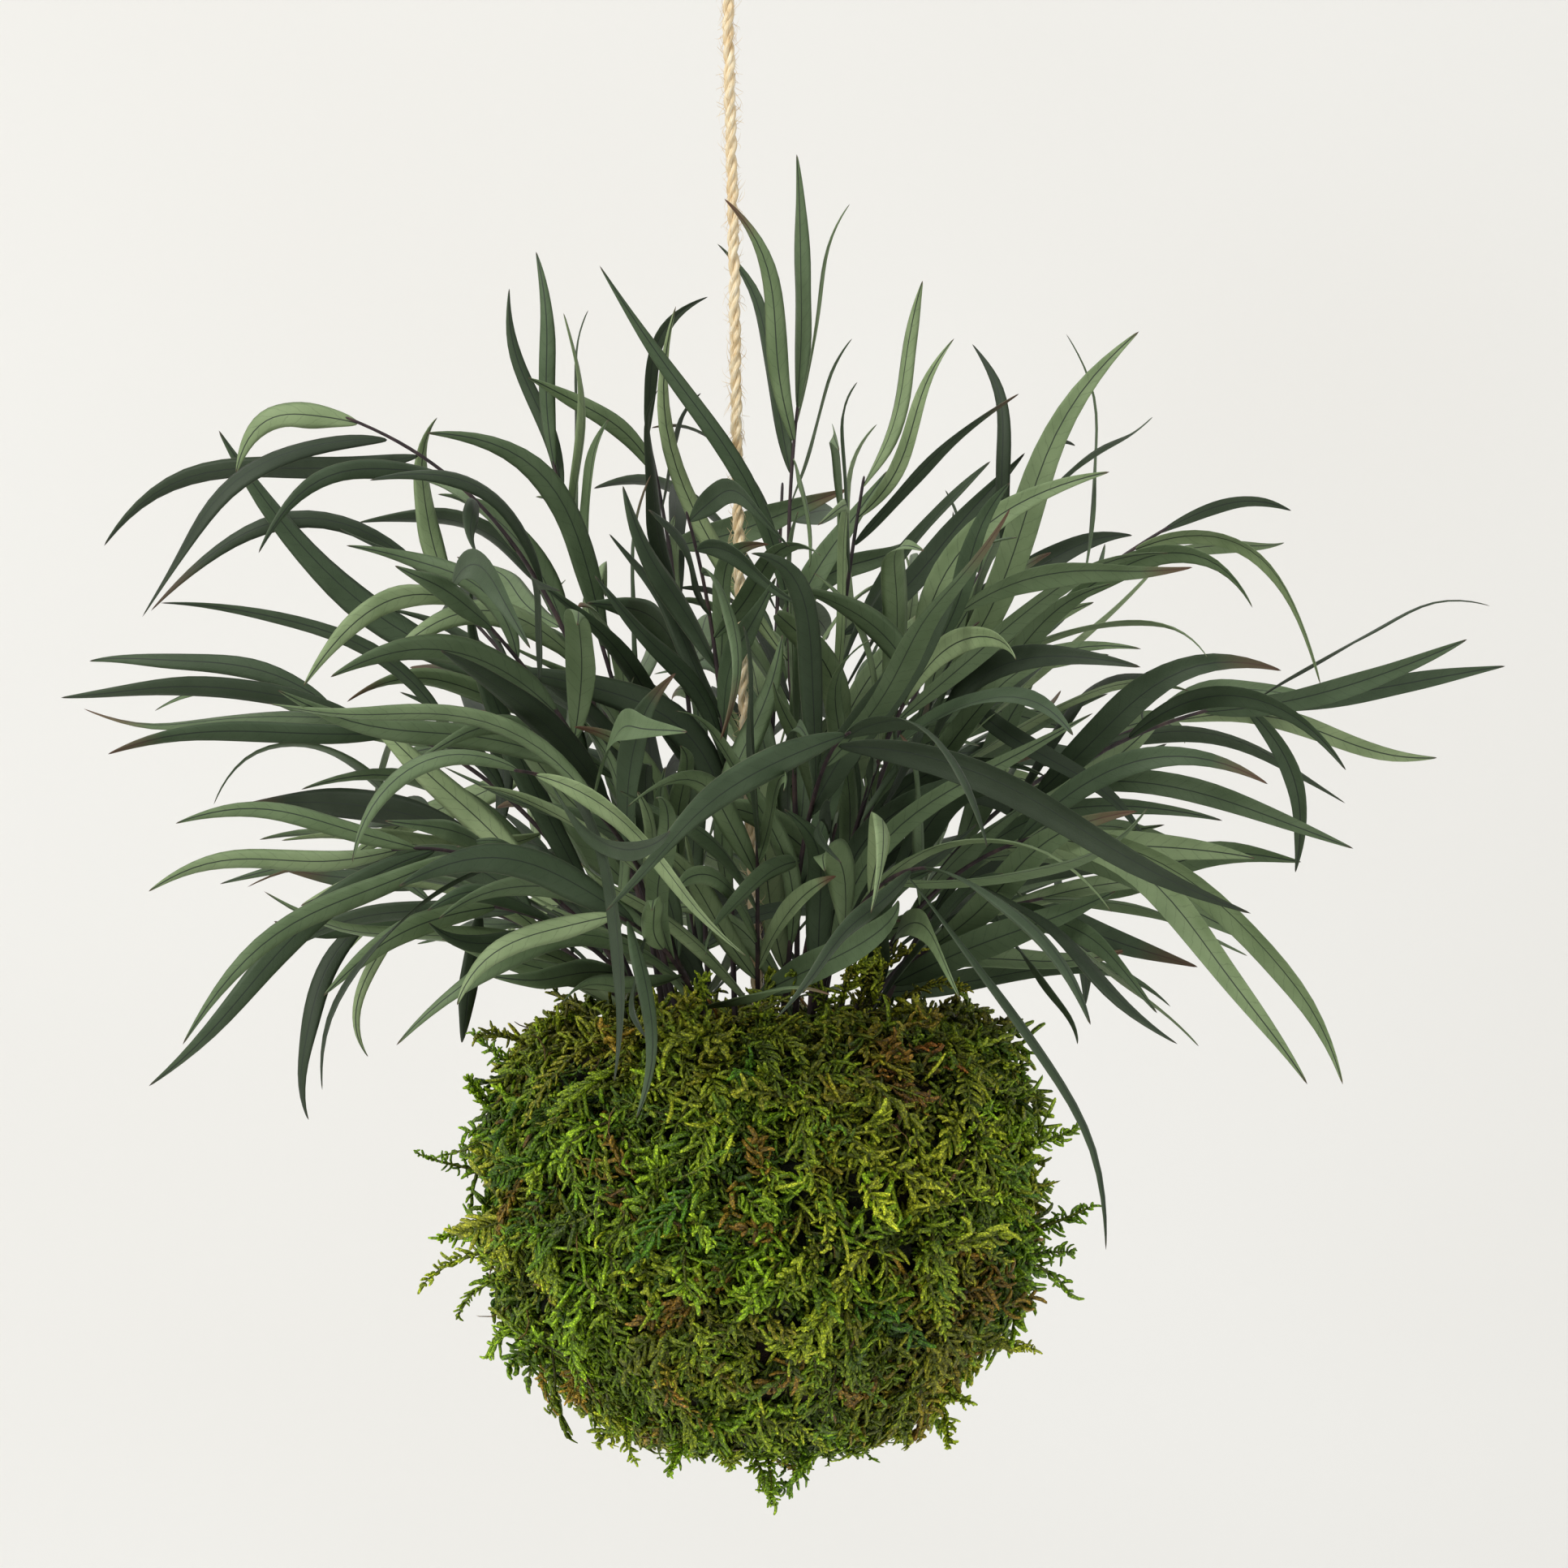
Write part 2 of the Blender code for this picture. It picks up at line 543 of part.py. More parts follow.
def cut_core(core, holes, cutters):
    """Cuts the holes of the twigs, the bore of the string and the pocket of the stopper knot."""
    bore = tube("string_bore", np.array([(0, 0, 0), (0, 0, 0.12)]), (STRING_BORE,) * 2, cutters, sides=2)
    pocket = tube("knot_pocket", np.array([(0, 0, 0), (0, 0, POCKET_TOP)]), (POCKET_RADIUS,) * 2,
                  cutters, sides=3)
    cut = [helper(as_mesh(cutter, cutters)) for cutter in (bore, pocket)]
    boolean(core, "DIFFERENCE", holes)
    for cutter in cut:
        boolean(core, "DIFFERENCE", cutter)


def build():
    for old in list(bpy.data.objects):
        bpy.data.objects.remove(old)
    parts = bpy.data.collections.new("kokedama")
    cutters = bpy.data.collections.new("cutters")
    for collection in (parts, cutters):
        bpy.context.scene.collection.children.link(collection)

    leaf_green = material("preserved_eucalyptus", LEAF_COLOUR, 0.6)
    moss_green = material("feather_moss", MOSS_COLOUR, 0.9)
    peat = material("peat", PEAT_COLOUR, 0.95)
    jute = material("jute", JUTE_COLOUR, 0.85)

    core = make_ball(parts, moss_green, peat)
    string = smooth_path(STRING_ROUTE, STRING_POINTS)
    paths, leaves = lay_leaves([prism(string, STRING_RADIUS + CLEARANCE), moss_cover_body()])
    make_string(parts, jute, string)
    holes = make_sprigs(paths, leaves, parts, cutters, leaf_green)
    cut_core(core, holes, cutters)


build()
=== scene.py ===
"""A kokedama: a feather-moss ball planted with sprigs of willow eucalyptus, hanging on a jute string.

Metres, +Z up, the front faces -Y, and the origin is the middle of the flat spot under the ball.
"""

import math

import bpy
import numpy as np
from mathutils.bvhtree import BVHTree
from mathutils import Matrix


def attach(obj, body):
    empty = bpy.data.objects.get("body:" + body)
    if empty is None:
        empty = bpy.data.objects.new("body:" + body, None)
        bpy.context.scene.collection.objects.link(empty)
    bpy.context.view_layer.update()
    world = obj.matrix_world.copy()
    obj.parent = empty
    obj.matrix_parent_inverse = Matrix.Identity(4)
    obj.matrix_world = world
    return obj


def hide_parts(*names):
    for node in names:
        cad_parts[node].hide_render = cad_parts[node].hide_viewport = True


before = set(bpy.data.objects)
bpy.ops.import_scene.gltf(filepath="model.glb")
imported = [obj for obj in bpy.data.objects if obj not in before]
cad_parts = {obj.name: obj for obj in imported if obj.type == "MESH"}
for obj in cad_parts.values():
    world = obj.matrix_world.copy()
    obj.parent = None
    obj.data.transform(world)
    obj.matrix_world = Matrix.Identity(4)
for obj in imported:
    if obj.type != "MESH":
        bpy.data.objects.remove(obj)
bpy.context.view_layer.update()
MM = 0.001


# --- Camera ---------------------------------------------------------------------------------
# It stands level with the middle of the plant and 1.9 m in front of it, with a long lens, and
# takes in the ball, the whole tuft and the string up to just below its top knot.

CAMERA_DISTANCE = 1.9
VIEW_MIDDLE_X, VIEW_MIDDLE_Z, VIEW_WIDTH = 6.4 * MM, 167.8 * MM, 386.4 * MM

camera_data = bpy.data.cameras.new("camera")
camera_data.sensor_width = 36.0
camera_data.lens = 36.0 * CAMERA_DISTANCE / VIEW_WIDTH
camera_data.clip_start, camera_data.clip_end = 0.05, 20.0
camera = bpy.data.objects.new("camera", camera_data)
camera.location = (VIEW_MIDDLE_X, -CAMERA_DISTANCE, VIEW_MIDDLE_Z)
camera.rotation_euler = (math.pi / 2, 0, 0)
bpy.context.scene.collection.objects.link(camera)
bpy.context.scene.camera = camera


# --- Jute string ----------------------------------------------------------------------------
# Pale jute yarn, three loose plies laid together to about 3 mm, drawn tight by the ball's weight.
# It comes up out of the ball from a stopper knot inside, passes through the tuft and ends
# in a tied loop. Loose fibres stand out all along it.

STRING_ROUTE = (
    (0, 0, 24), (0, 0, 60), (0, 0, 104), (-1.5, 0, 150), (-4, -1, 200),
    (-5.2, -1, 250), (-6, 0, 300), (-7, 0, 340), (-7.6, 0, 372),
)
STRING_RADIUS = 1.6 * MM
KNOT_RADIUS, KNOT_FLATNESS = 4.2 * MM, 0.9
LOOP_FOOT, LOOP_WIDTH, LOOP_HEIGHT = 2.0 * MM, 6.5 * MM, 20 * MM
PLY_RADIUS, PLY_OFFSET, PLY_PITCH = 0.76 * MM, 0.74 * MM, 12.0 * MM
FIBRE_COUNT, FIBRE_RADIUS, FIBRE_REACH = 900, 0.075 * MM, 3.4 * MM
THREE_SIDES = np.arange(3) * 2 * math.pi / 3


def unit(vectors):
    return vectors / np.linalg.norm(vectors, axis=-1, keepdims=True)


def smooth_path(points, count):
    """A Catmull-Rom curve through given points, read at evenly spaced places."""
    p = np.array(points, float) * MM
    p = np.vstack([2 * p[0] - p[1], p, 2 * p[-1] - p[-2]])
    spot = np.linspace(0, len(p) - 3 - 1e-9, count)
    i, t = spot.astype(int), (spot % 1)[:, None]
    a, b, c, d = p[i], p[i + 1], p[i + 2], p[i + 3]
    return 0.5 * (2 * b + (c - a) * t + (2 * a - 5 * b + 4 * c - d) * t ** 2
                  + (3 * b - a - 3 * c + d) * t ** 3)


def linear(hex_colour):
    """The linear colour of an sRGB hex value: each channel over 12.92, or ((c + 0.055) / 1.055) ** 2.4."""
    share = np.array([int(hex_colour[i:i + 2], 16) for i in (1, 3, 5)]) / 255
    return np.where(share <= 0.04045, share / 12.92, ((share + 0.055) / 1.055) ** 2.4)


def add(tree, kind, inputs=(), **settings):
    """Adds one node, sets its properties, and gives each of its inputs a value or a link."""
    node = tree.nodes.new("ShaderNode" + kind)
    for name, value in settings.items():
        setattr(node, name, value)
    for name, value in dict(inputs).items():
        if isinstance(value, bpy.types.NodeSocket):
            tree.links.new(value, node.inputs[name])
        else:
            node.inputs[name].default_value = value
    return node


def new_material(name, roughness):
    """A material whose Principled shader is ready for its colour: returns material, tree, shader."""
    made = bpy.data.materials.new(name)
    made.use_nodes = True
    shader = made.node_tree.nodes["Principled BSDF"]
    shader.inputs["Roughness"].default_value = roughness
    return made, made.node_tree, shader


def ramp(tree, value, stops):
    """A colour ramp over the value, with stops of (place, hex colour)."""
    node = add(tree, "ValToRGB", {"Fac": value})
    while len(node.color_ramp.elements) < len(stops):
        node.color_ramp.elements.new(0.5)
    for element, (place, colour) in zip(node.color_ramp.elements, stops):
        element.position = place
        element.color = (*linear(colour), 1)
    return node.outputs["Color"]


def noise(tree, scale, detail, vector=None, **others):
    """Noise over the object's own space or another vector, as a value about 0.5."""
    place = vector or add(tree, "TexCoord").outputs["Object"]
    return add(tree, "TexNoise", {"Vector": place, "Scale": scale, "Detail": detail, **others}).outputs["Fac"]


def mixed(tree, share, first, second, blend="MIX"):
    """Two colours blended, the second by this share."""
    inputs = {0: share, 6: first, 7: second}
    return add(tree, "Mix", inputs, data_type="RGBA", blend_type=blend).outputs[2]


def surface(tree, shader, colour, height, strength, depth, invert=False):
    """Gives the shader its colour, and a bump from the height, this many metres deep."""
    tree.links.new(colour, shader.inputs["Base Color"])
    inputs = {"Strength": strength, "Distance": depth, "Height": height}
    tree.links.new(add(tree, "Bump", inputs, invert=invert).outputs["Normal"], shader.inputs["Normal"])


def new_piece(name, points, faces, materials):
    """A smooth piece from an array of points and a list of face arrays, each with one number of corners."""
    mesh = bpy.data.meshes.new(name)
    corners = np.concatenate([block.ravel() for block in faces]).astype(np.int32)
    sizes = np.concatenate([np.full(len(block), block.shape[1]) for block in faces])
    mesh.vertices.add(len(points))
    mesh.vertices.foreach_set("co", np.ascontiguousarray(points, np.float32).ravel())
    mesh.loops.add(len(corners))
    mesh.loops.foreach_set("vertex_index", corners)
    mesh.polygons.add(len(sizes))
    mesh.polygons.foreach_set("loop_start", (np.cumsum(sizes) - sizes).astype(np.int32))
    mesh.polygons.foreach_set("use_smooth", np.ones(len(sizes), bool))
    mesh.update(calc_edges=True)
    for made in materials:
        mesh.materials.append(made)
    obj = bpy.data.objects.new(name, mesh)
    bpy.context.scene.collection.objects.link(obj)
    return obj


def give_colour(obj, name, values):
    """Stores one colour for each point, as three or four numbers."""
    full = np.ones((len(values), 4), np.float32)
    full[:, :values.shape[1]] = values
    obj.data.attributes.new(name, "FLOAT_COLOR", "POINT").data.foreach_set("color", full.ravel())


def give_map(obj, name, places):
    """Stores a UV map, one pair of numbers for each face corner."""
    flat = np.ascontiguousarray(places, np.float32).ravel()
    obj.data.uv_layers.new(name=name).uv.foreach_set("vector", flat)


def rings(centre, radius, side, other, spin):
    """Points round each centre: cos(spin) along side and sin(spin) along other, times the radius."""
    spokes = np.cos(spin)[:, None] * side[..., None, :] + np.sin(spin)[:, None] * other[..., None, :]
    return centre[..., None, :] + radius[..., None, None] * spokes


def tube_faces(rows, around, count=1):
    """Faces of closed tubes, each with a start point, rows of ring points and an end point.

    Quads join ring point j of row i to j + 1 and to row i + 1; triangles fan to the two end points.
    """
    j = np.arange(around)
    k = (j + 1) % around
    row = 1 + np.arange(rows - 1)[:, None] * around
    quads = np.stack([row + j, row + k, row + around + k, row + around + j], axis=-1).reshape(-1, 4)
    last = 1 + (rows - 1) * around
    fans = np.concatenate([np.stack([0 * j, 1 + k, 1 + j], axis=1),
                           np.stack([last + j, last + k, 0 * j + last + around], axis=1)])
    step = (rows * around + 2) * np.arange(count)[:, None, None]
    return [(quads + step).reshape(-1, 4), (fans + step).reshape(-1, 3)]


def twine(path, reference, pitch=PLY_PITCH, squeeze=1.0):
    """Three plies laid round a path: points, faces and for each corner (turn round the ply, cm along).

    Each ply is a ring carried along the path. Its centre turns about the path once in each pitch,
    and its radius swells a little with two waves of its own.
    """
    around = 10
    step = np.linalg.norm(np.diff(path, axis=0), axis=1)
    run = np.concatenate([[0], np.cumsum(step)])[:, None]
    tangent = unit(np.gradient(path, axis=0))
    side = unit(reference - (reference * tangent).sum(axis=1, keepdims=True) * tangent)
    other = np.cross(tangent, side)
    spin = np.linspace(0, 2 * math.pi, around, endpoint=False)
    points, places = [], []
    for ply in range(3):
        swell = 1 + 0.10 * np.sin(run / 0.0071 + 2.1 * ply) + 0.07 * np.sin(run / 0.0023 + 4.0 * ply)
        turn = 2 * math.pi * (run / pitch + ply / 3) + 0.5 * np.sin(run / 0.019 + ply)
        centre = path + squeeze * PLY_OFFSET * (np.cos(turn) * side + np.sin(turn) * other)
        ring = rings(centre, squeeze * PLY_RADIUS * swell[:, 0], side, other, spin)
        points.append(np.concatenate([centre[:1], ring.reshape(-1, 3), centre[-1:]]))
    faces = tube_faces(len(path), around, 3)
    low, high = run[:-1], run[1:]
    j = np.arange(around)
    share = np.stack([j, j + 1, j + 1, j], axis=1) / around
    along = np.stack([low, low, high, high], axis=-1) * 100
    quad_places = np.stack(np.broadcast_arrays(share[None], along), axis=-1).reshape(-1, 2)
    ply_shift = np.repeat(np.arange(3) * 3.7, len(quad_places))
    quad_places = np.tile(quad_places, (3, 1)) + np.stack([0 * ply_shift, ply_shift], axis=1)
    fan_places = np.full((len(faces[1]) * 3, 2), 0.5)
    return np.concatenate(points), faces, np.concatenate([quad_places, fan_places])


# Jute yarn: bast fibres, spun and laid, unbleached. It is matt and pale gold with paler streaks along
# the fibres, each about 0.05 mm thick; the streaks are drawn 0.15 mm wide so that they show. The raised
# streaks are painted paler as a painted highlight, and the low ones darker as painted shade.
jute, tree, shader = new_material("spun_jute", 0.86)
laid = add(tree, "UVMap", uv_map="yarn").outputs["UV"]
streaks = add(tree, "Mapping", {"Vector": laid, "Rotation": (0, 0, 0.22), "Scale": (16, 3.2, 1)}).outputs["Vector"]
streak = noise(tree, 1.0, 5.0, streaks, Roughness=0.65)
blotch = noise(tree, 210.0, 3.0)
# The ramp runs from shaded to lit yarn tones over the streaks that the bump raises: painted highlight and shade.
yarn_streaks_and_highlights = ramp(tree, streak, ((0.25, "#c8a670"), (0.40, "#e6cda0"), (0.55, "#f5e8ca"), (0.72, "#fffaf0")))
worn = ramp(tree, blotch, ((0.3, "#ead4ae"), (0.6, "#ffffff")))
surface(tree, shader, mixed(tree, 0.55, yarn_streaks_and_highlights, worn, "MULTIPLY"), streak, 0.7, 0.2 * MM)
shader.inputs["Sheen Weight"].default_value = 0.25
shader.inputs["Sheen Roughness"].default_value = 0.5

string_path = smooth_path(STRING_ROUTE, 700)
points, faces, places = twine(string_path, np.array([[0.0, 1.0, 0.0]]))
string = new_piece("jute_string", points, faces, [jute])
give_map(string, "yarn", places)

# A tight overhand knot is close to a trefoil, drawn down until its turns touch.
turn = np.linspace(0, 2 * math.pi, 240)
trefoil = np.stack([np.sin(turn) + 2 * np.sin(2 * turn), np.cos(turn) - 2 * np.cos(2 * turn),
                    -np.sin(3 * turn)], axis=1)
tall = KNOT_RADIUS * KNOT_FLATNESS + 0.3 * MM
knot_shape = trefoil * np.array([0.83, 0.83, 1.9]) * MM
ends = (("stopper", string_path[0] - (0, 0, tall)), ("top", string_path[-1] + (0, 0, tall)))
knots = []
for name, middle in ends:
    points, faces, places = twine(knot_shape + middle, knot_shape, pitch=7 * MM, squeeze=1.08)
    made = new_piece(f"jute_{name}_knot", points, faces, [jute])
    give_map(made, "yarn", places)
    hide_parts(f"{name}_knot")
    knots.append(made)

# The loop: up on one side, over the top and down on the other, with both ends in the top knot.
a = np.linspace(-0.12, math.pi + 0.12, 150)
swell = LOOP_FOOT + (LOOP_WIDTH - LOOP_FOOT) * np.sin(a)
foot = ends[1][1] + (0, 0, tall)
loop_path = foot + np.stack([-np.cos(a) * swell, 0 * a, np.sin(a) * LOOP_HEIGHT], axis=1)
points, faces, places = twine(loop_path, np.array([[0.0, 1.0, 0.0]]))
loop = new_piece("jute_loop", points, faces, [jute])
give_map(loop, "yarn", places)
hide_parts("hanging_loop")

# Loose fibres: each starts in the yarn and leaves it at a slant, in a bow, by up to 3.4 mm.
rng = np.random.default_rng(5)
spot = rng.uniform(0.29, 0.995, FIBRE_COUNT)
low = (spot * (len(string_path) - 1)).astype(int)
round_it = rng.uniform(0, 2 * math.pi, FIBRE_COUNT)
outward = np.stack([np.cos(round_it), np.sin(round_it), 0 * round_it], axis=1)
slant = unit(outward + rng.normal(size=(FIBRE_COUNT, 3)) * (0.5, 0.5, 0.2)
             + np.sign(rng.normal(size=(FIBRE_COUNT, 1))) * (0, 0, 1) * rng.uniform(0.4, 3.0, (FIBRE_COUNT, 1)))
fibre_length = rng.uniform(1.6, 5.0, (FIBRE_COUNT, 1)) * MM
bow = rng.normal(size=(FIBRE_COUNT, 3)) * 0.35
rows = np.linspace(0, 1, 6)[:, None, None]
line = (string_path[low] + outward * 1.1 * MM + slant * fibre_length * rows
        + bow * fibre_length * rows * (rows - 0.6))
away = line - string_path[low]
reach = np.linalg.norm(away[..., :2], axis=-1, keepdims=True)
line[..., :2] -= away[..., :2] * np.clip(1 - FIBRE_REACH / np.maximum(reach, 1e-6), 0, None)
across = unit(np.cross(slant, outward + 0.01))
thick = FIBRE_RADIUS * (1.15 - rows[..., 0])
ring = rings(line, thick, across, np.cross(slant, across), THREE_SIDES).transpose(1, 0, 2, 3)
points = np.concatenate([line[0][:, None], ring[:, 1:5].reshape(FIBRE_COUNT, -1, 3), line[5][:, None]], axis=1)
faces = tube_faces(4, 3, FIBRE_COUNT)
fibres = new_piece("jute_fibres", points.reshape(-1, 3), faces, [jute])
give_map(fibres, "yarn", np.full((sum(block.size for block in faces), 2), 0.5))

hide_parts("hanging_string")
for made in (string, loop, fibres, *knots):
    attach(made, "root")


# --- Root ball ------------------------------------------------------------------------------
# A ball of dark peat and clay pressed round the roots. Only its top shows, in the shade between
# the twigs and the moss.

peat, tree, shader = new_material("pressed_peat", 0.95)
crumbs = noise(tree, 380.0, 8.0, Roughness=0.7)
soil = ramp(tree, crumbs, ((0.3, "#0e0a06"), (0.55, "#2b1d12"), (0.75, "#4a3722")))
surface(tree, shader, soil, crumbs, 1.0, 1.2 * MM)
root_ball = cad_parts["root_ball"]
root_ball.data.materials.clear()
root_ball.data.materials.append(peat)


# --- Moss -----------------------------------------------------------------------------------
# Living feather moss wrapped round the root ball. A mat of old stems lies below, coloured near-black
# as painted shade for the gaps, and over it thousands of feathered fronds: a red-brown stem with
# opposite branchlets 4 to 8 mm long, which are thick with tiny scale leaves.

MOSS_OUTLINE = (
    (46, 114), (53, 111.5), (61, 105), (66, 94), (68.5, 78), (68.5, 60),
    (66, 43), (59, 27), (48, 13), (36, 4), (25, 0), (0, 0),
)
MOSS_THICKNESS = 10 * MM
BALL_STEPS = 28
MOSS_TOP = ((4, 108), (20, 110), (40, 113))
FROND_COUNT, FEATHER_COUNT, SHOOT_COUNT, LITTER_COUNT = 3000, 200, 1250, 90
FROND_PAIRS, FEATHER_PAIRS, STRAGGLER_PAIRS = 7, 13, 20
SECTORS, GOLDEN_ANGLE, STRAW_COUNT = 8, 2.399963, 12
PRESSED_BELOW, PRESSED_SHARE = 6 * MM, 0.62
DRAWN_BELOW, DRAWN_SHARE = 40 * MM, 0.25
BRANCHLET_RINGS = ((0.04, 0.78), (0.34, 1.0), (0.68, 0.92), (0.93, 0.60))


def inset(outline, depth):
    """The outline moved inwards by this depth, each point along the mean normal of its two edges."""
    points = np.array(outline, float)
    edges = unit(np.diff(points, axis=0))
    normals = np.stack([-edges[:, 1], edges[:, 0]], axis=1)
    ends = unit(np.vstack([normals[:1], normals[:-1] + normals[1:], normals[-1:]]))
    return [tuple(point) for point in points - ends * depth]


def lathe(outline):
    """Points and faces of an outline turned about the Z axis."""
    profile = np.array(outline) * MM
    turn = np.linspace(0, 2 * math.pi, BALL_STEPS, endpoint=False)
    ring = np.stack([np.cos(turn), np.sin(turn)], axis=1)
    points = [(*(radius * spot), height) for radius, height in profile for spot in ring]
    starts = [i * BALL_STEPS for i in range(len(profile) - 1)]
    faces = [(start + j, start + (j + 1) % BALL_STEPS, start + BALL_STEPS + (j + 1) % BALL_STEPS,
              start + BALL_STEPS + j) for start in starts for j in range(BALL_STEPS)]
    return points, faces


def moss_cover_body():
    """The moss cover as a closed body: up its inside, over the rim and down its outside."""
    inner = inset(MOSS_OUTLINE, MOSS_THICKNESS / MM)
    return lathe([*inner[::-1], *MOSS_OUTLINE])


def belongs(piece, node):
    """Ties a piece to the one rigid body and the node of the frame it stands for."""
    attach(piece, "root")
    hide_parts(node)


def soft_noise(points, size, seed):
    """A smooth field of about -1 to 1: the mean of six sine waves of this size in random directions."""
    ways = np.random.default_rng(seed)
    total = 0
    for _ in range(6):
        way = unit(ways.normal(size=3)) * 2 * math.pi / size
        total = total + np.sin(points @ way + ways.uniform(0, 6.3))
    return total / 2.4


def ball_spots(share, turn):
    """Points and outward normals on the moss ball, at a share of its area from the top and an angle."""
    profile = np.array([*MOSS_TOP, *MOSS_OUTLINE]) * MM
    step = np.diff(profile, axis=0)
    area = np.linalg.norm(step, axis=1) * (profile[1:, 0] + profile[:-1, 0]) / 2
    spot = np.interp(share, np.concatenate([[0], np.cumsum(area) / area.sum()]), np.arange(len(profile)))
    radius, height = (np.interp(spot, np.arange(len(profile)), profile[:, i]) for i in (0, 1))
    edge = unit(step)
    mean = unit(np.vstack([edge[:1], edge[:-1] + edge[1:], edge[-1:]]))
    out, up = (np.interp(spot, np.arange(len(profile)), mean[:, i]) for i in (1, 0))
    normal = unit(np.stack([-out * np.cos(turn), -out * np.sin(turn), up], axis=1))
    return np.stack([radius * np.cos(turn), radius * np.sin(turn), height], axis=1), normal


def hanging(normal, swing):
    """The direction that lies on the moss and points down, turned by this angle about the normal."""
    down = unit(np.cross(np.cross(normal, (0.02, 0.01, -1.0)), normal))
    return np.cos(swing) * down + np.sin(swing) * np.cross(normal, down)


def settled(points):
    """Points of the moss drawn in towards the axis low down, and pressed up underneath.

    Below 40 mm the radius shrinks by up to a quarter, as the height lost to the power 1.3.
    """
    lost = np.clip(1 - points[:, 2:] / DRAWN_BELOW, 0, 1)
    points = points * np.where([True, True, False], 1 - DRAWN_SHARE * lost ** 1.3, 1)
    points[:, 2] -= np.minimum(points[:, 2] - PRESSED_BELOW, 0) * PRESSED_SHARE
    return points


def arc(along, bend, place):
    """Point and direction, for unit length, at a place on a round arc that sets out along.

    It turns towards bend, by as many radians as bend is long: forward by sin(a) over the turn, and
    aside by 1 - cos(a) over the turn.
    """
    turn = np.linalg.norm(bend, axis=-1, keepdims=True) + 0.01
    aside = unit(bend - (bend * along).sum(axis=-1, keepdims=True) * along)
    a = turn * place
    return (along * np.sin(a) + aside * (1 - np.cos(a))) / turn, along * np.cos(a) + aside * np.sin(a)


def spindles(start, along, bend, length, radius, colours):
    """Points, faces and colours of tapered, three-sided shoots: a point, four rings and a point.

    colours holds for each shoot the colour of its foot and of its tip.
    """
    level = unit(np.cross(along, bend))
    rows, tones = [start[:, None]], [colours[:, :1]]
    for place, share in BRANCHLET_RINGS:
        way, tangent = arc(along, bend, place)
        middle = start + length[:, None] * way
        rows.append(rings(middle, radius * share, level, np.cross(tangent, level), THREE_SIDES))
        tones.append(np.repeat(colours[:, :1] * (1 - place) + colours[:, 1:] * place, 3, axis=1))
    rows.append((start + length[:, None] * arc(along, bend, 1.0)[0])[:, None])
    tones.append(colours[:, 1:])
    return (np.concatenate(rows, axis=1).reshape(-1, 3), tube_faces(len(BRANCHLET_RINGS), 3, len(start)),
            np.concatenate(tones, axis=1).reshape(-1, 3))


def fronds(base, way, face, curl, length, reach, rng, tones_with_painted_shade, pairs=FROND_PAIRS, wild=1.0):
    """Feathered fronds, each a curved stem with pairs of branchlets and one at its end, for spindles.

    A branchlet leaves the stem at 45 to 77 degrees to either side and curves forward. Its length
    follows a sine over the stem, from short to long to short. wild sets how unlike they are.
    """
    count = len(base)
    s = (np.arange(pairs) + 0.4 + 0.3 * rng.random((count, pairs))) / pairs
    hand = np.array([1.0, -1.0])
    run, tangent = arc(way[:, None], curl[:, None], s[:, :, None])
    stem = base[:, None] + length[:, None, None] * run
    side = unit(np.cross(tangent, face[:, None]))
    angle = rng.uniform(0.8, 1.35, (count, pairs, 2, 1))
    along = unit(np.cos(angle) * tangent[:, :, None] + np.sin(angle) * hand[:, None] * side[:, :, None]
                 + 0.22 * wild * rng.normal(size=(count, pairs, 2, 3)) + 0.15 * face[:, None, None])
    long = reach[:, None, None] * np.sin(math.pi * (0.2 + 0.68 * s))[:, :, None]
    long = long * rng.uniform(0.55, 1.2, (count, pairs, 2))
    start = np.repeat(stem[:, :, None], 2, axis=2)
    bend = 0.9 * tangent[:, :, None] + 0.75 * wild * rng.normal(size=along.shape)
    thick = reach[:, None, None] * rng.uniform(0.085, 0.12, long.shape)
    tone = tones_with_painted_shade[:, None, None] * rng.uniform(0.75, 1.2, (*long.shape, 1, 1))
    branchlets = (start.reshape(-1, 3), along.reshape(-1, 3), bend.reshape(-1, 3), long.ravel(),
                  thick.ravel(), tone.reshape(-1, 2, 3))
    end, last = arc(way, curl, 1.0)
    ends = (base + length[:, None] * end - last * 0.8 * MM, last, 0.7 * rng.normal(size=last.shape),
            reach * 0.75, reach * rng.uniform(0.09, 0.12, count), tones_with_painted_shade * 1.1)
    stem_tones = np.broadcast_to(np.stack([linear("#33240f"), linear("#5f7016")]), (count, 2, 3))
    stems = (base, way, curl, length, 0.3 * MM + reach * 0.04, stem_tones)
    return [np.concatenate(arrays) for arrays in zip(branchlets, ends, stems)]


RUSTY_SPOTS = (((0.053, -0.042, 0.041), 0.012), ((-0.026, -0.054, 0.029), 0.009), ((0.02, -0.064, 0.093), 0.007),
               ((0.040, -0.034, 0.016), 0.010), ((-0.003, -0.068, 0.049), 0.006), ((0.034, -0.048, 0.104), 0.010))


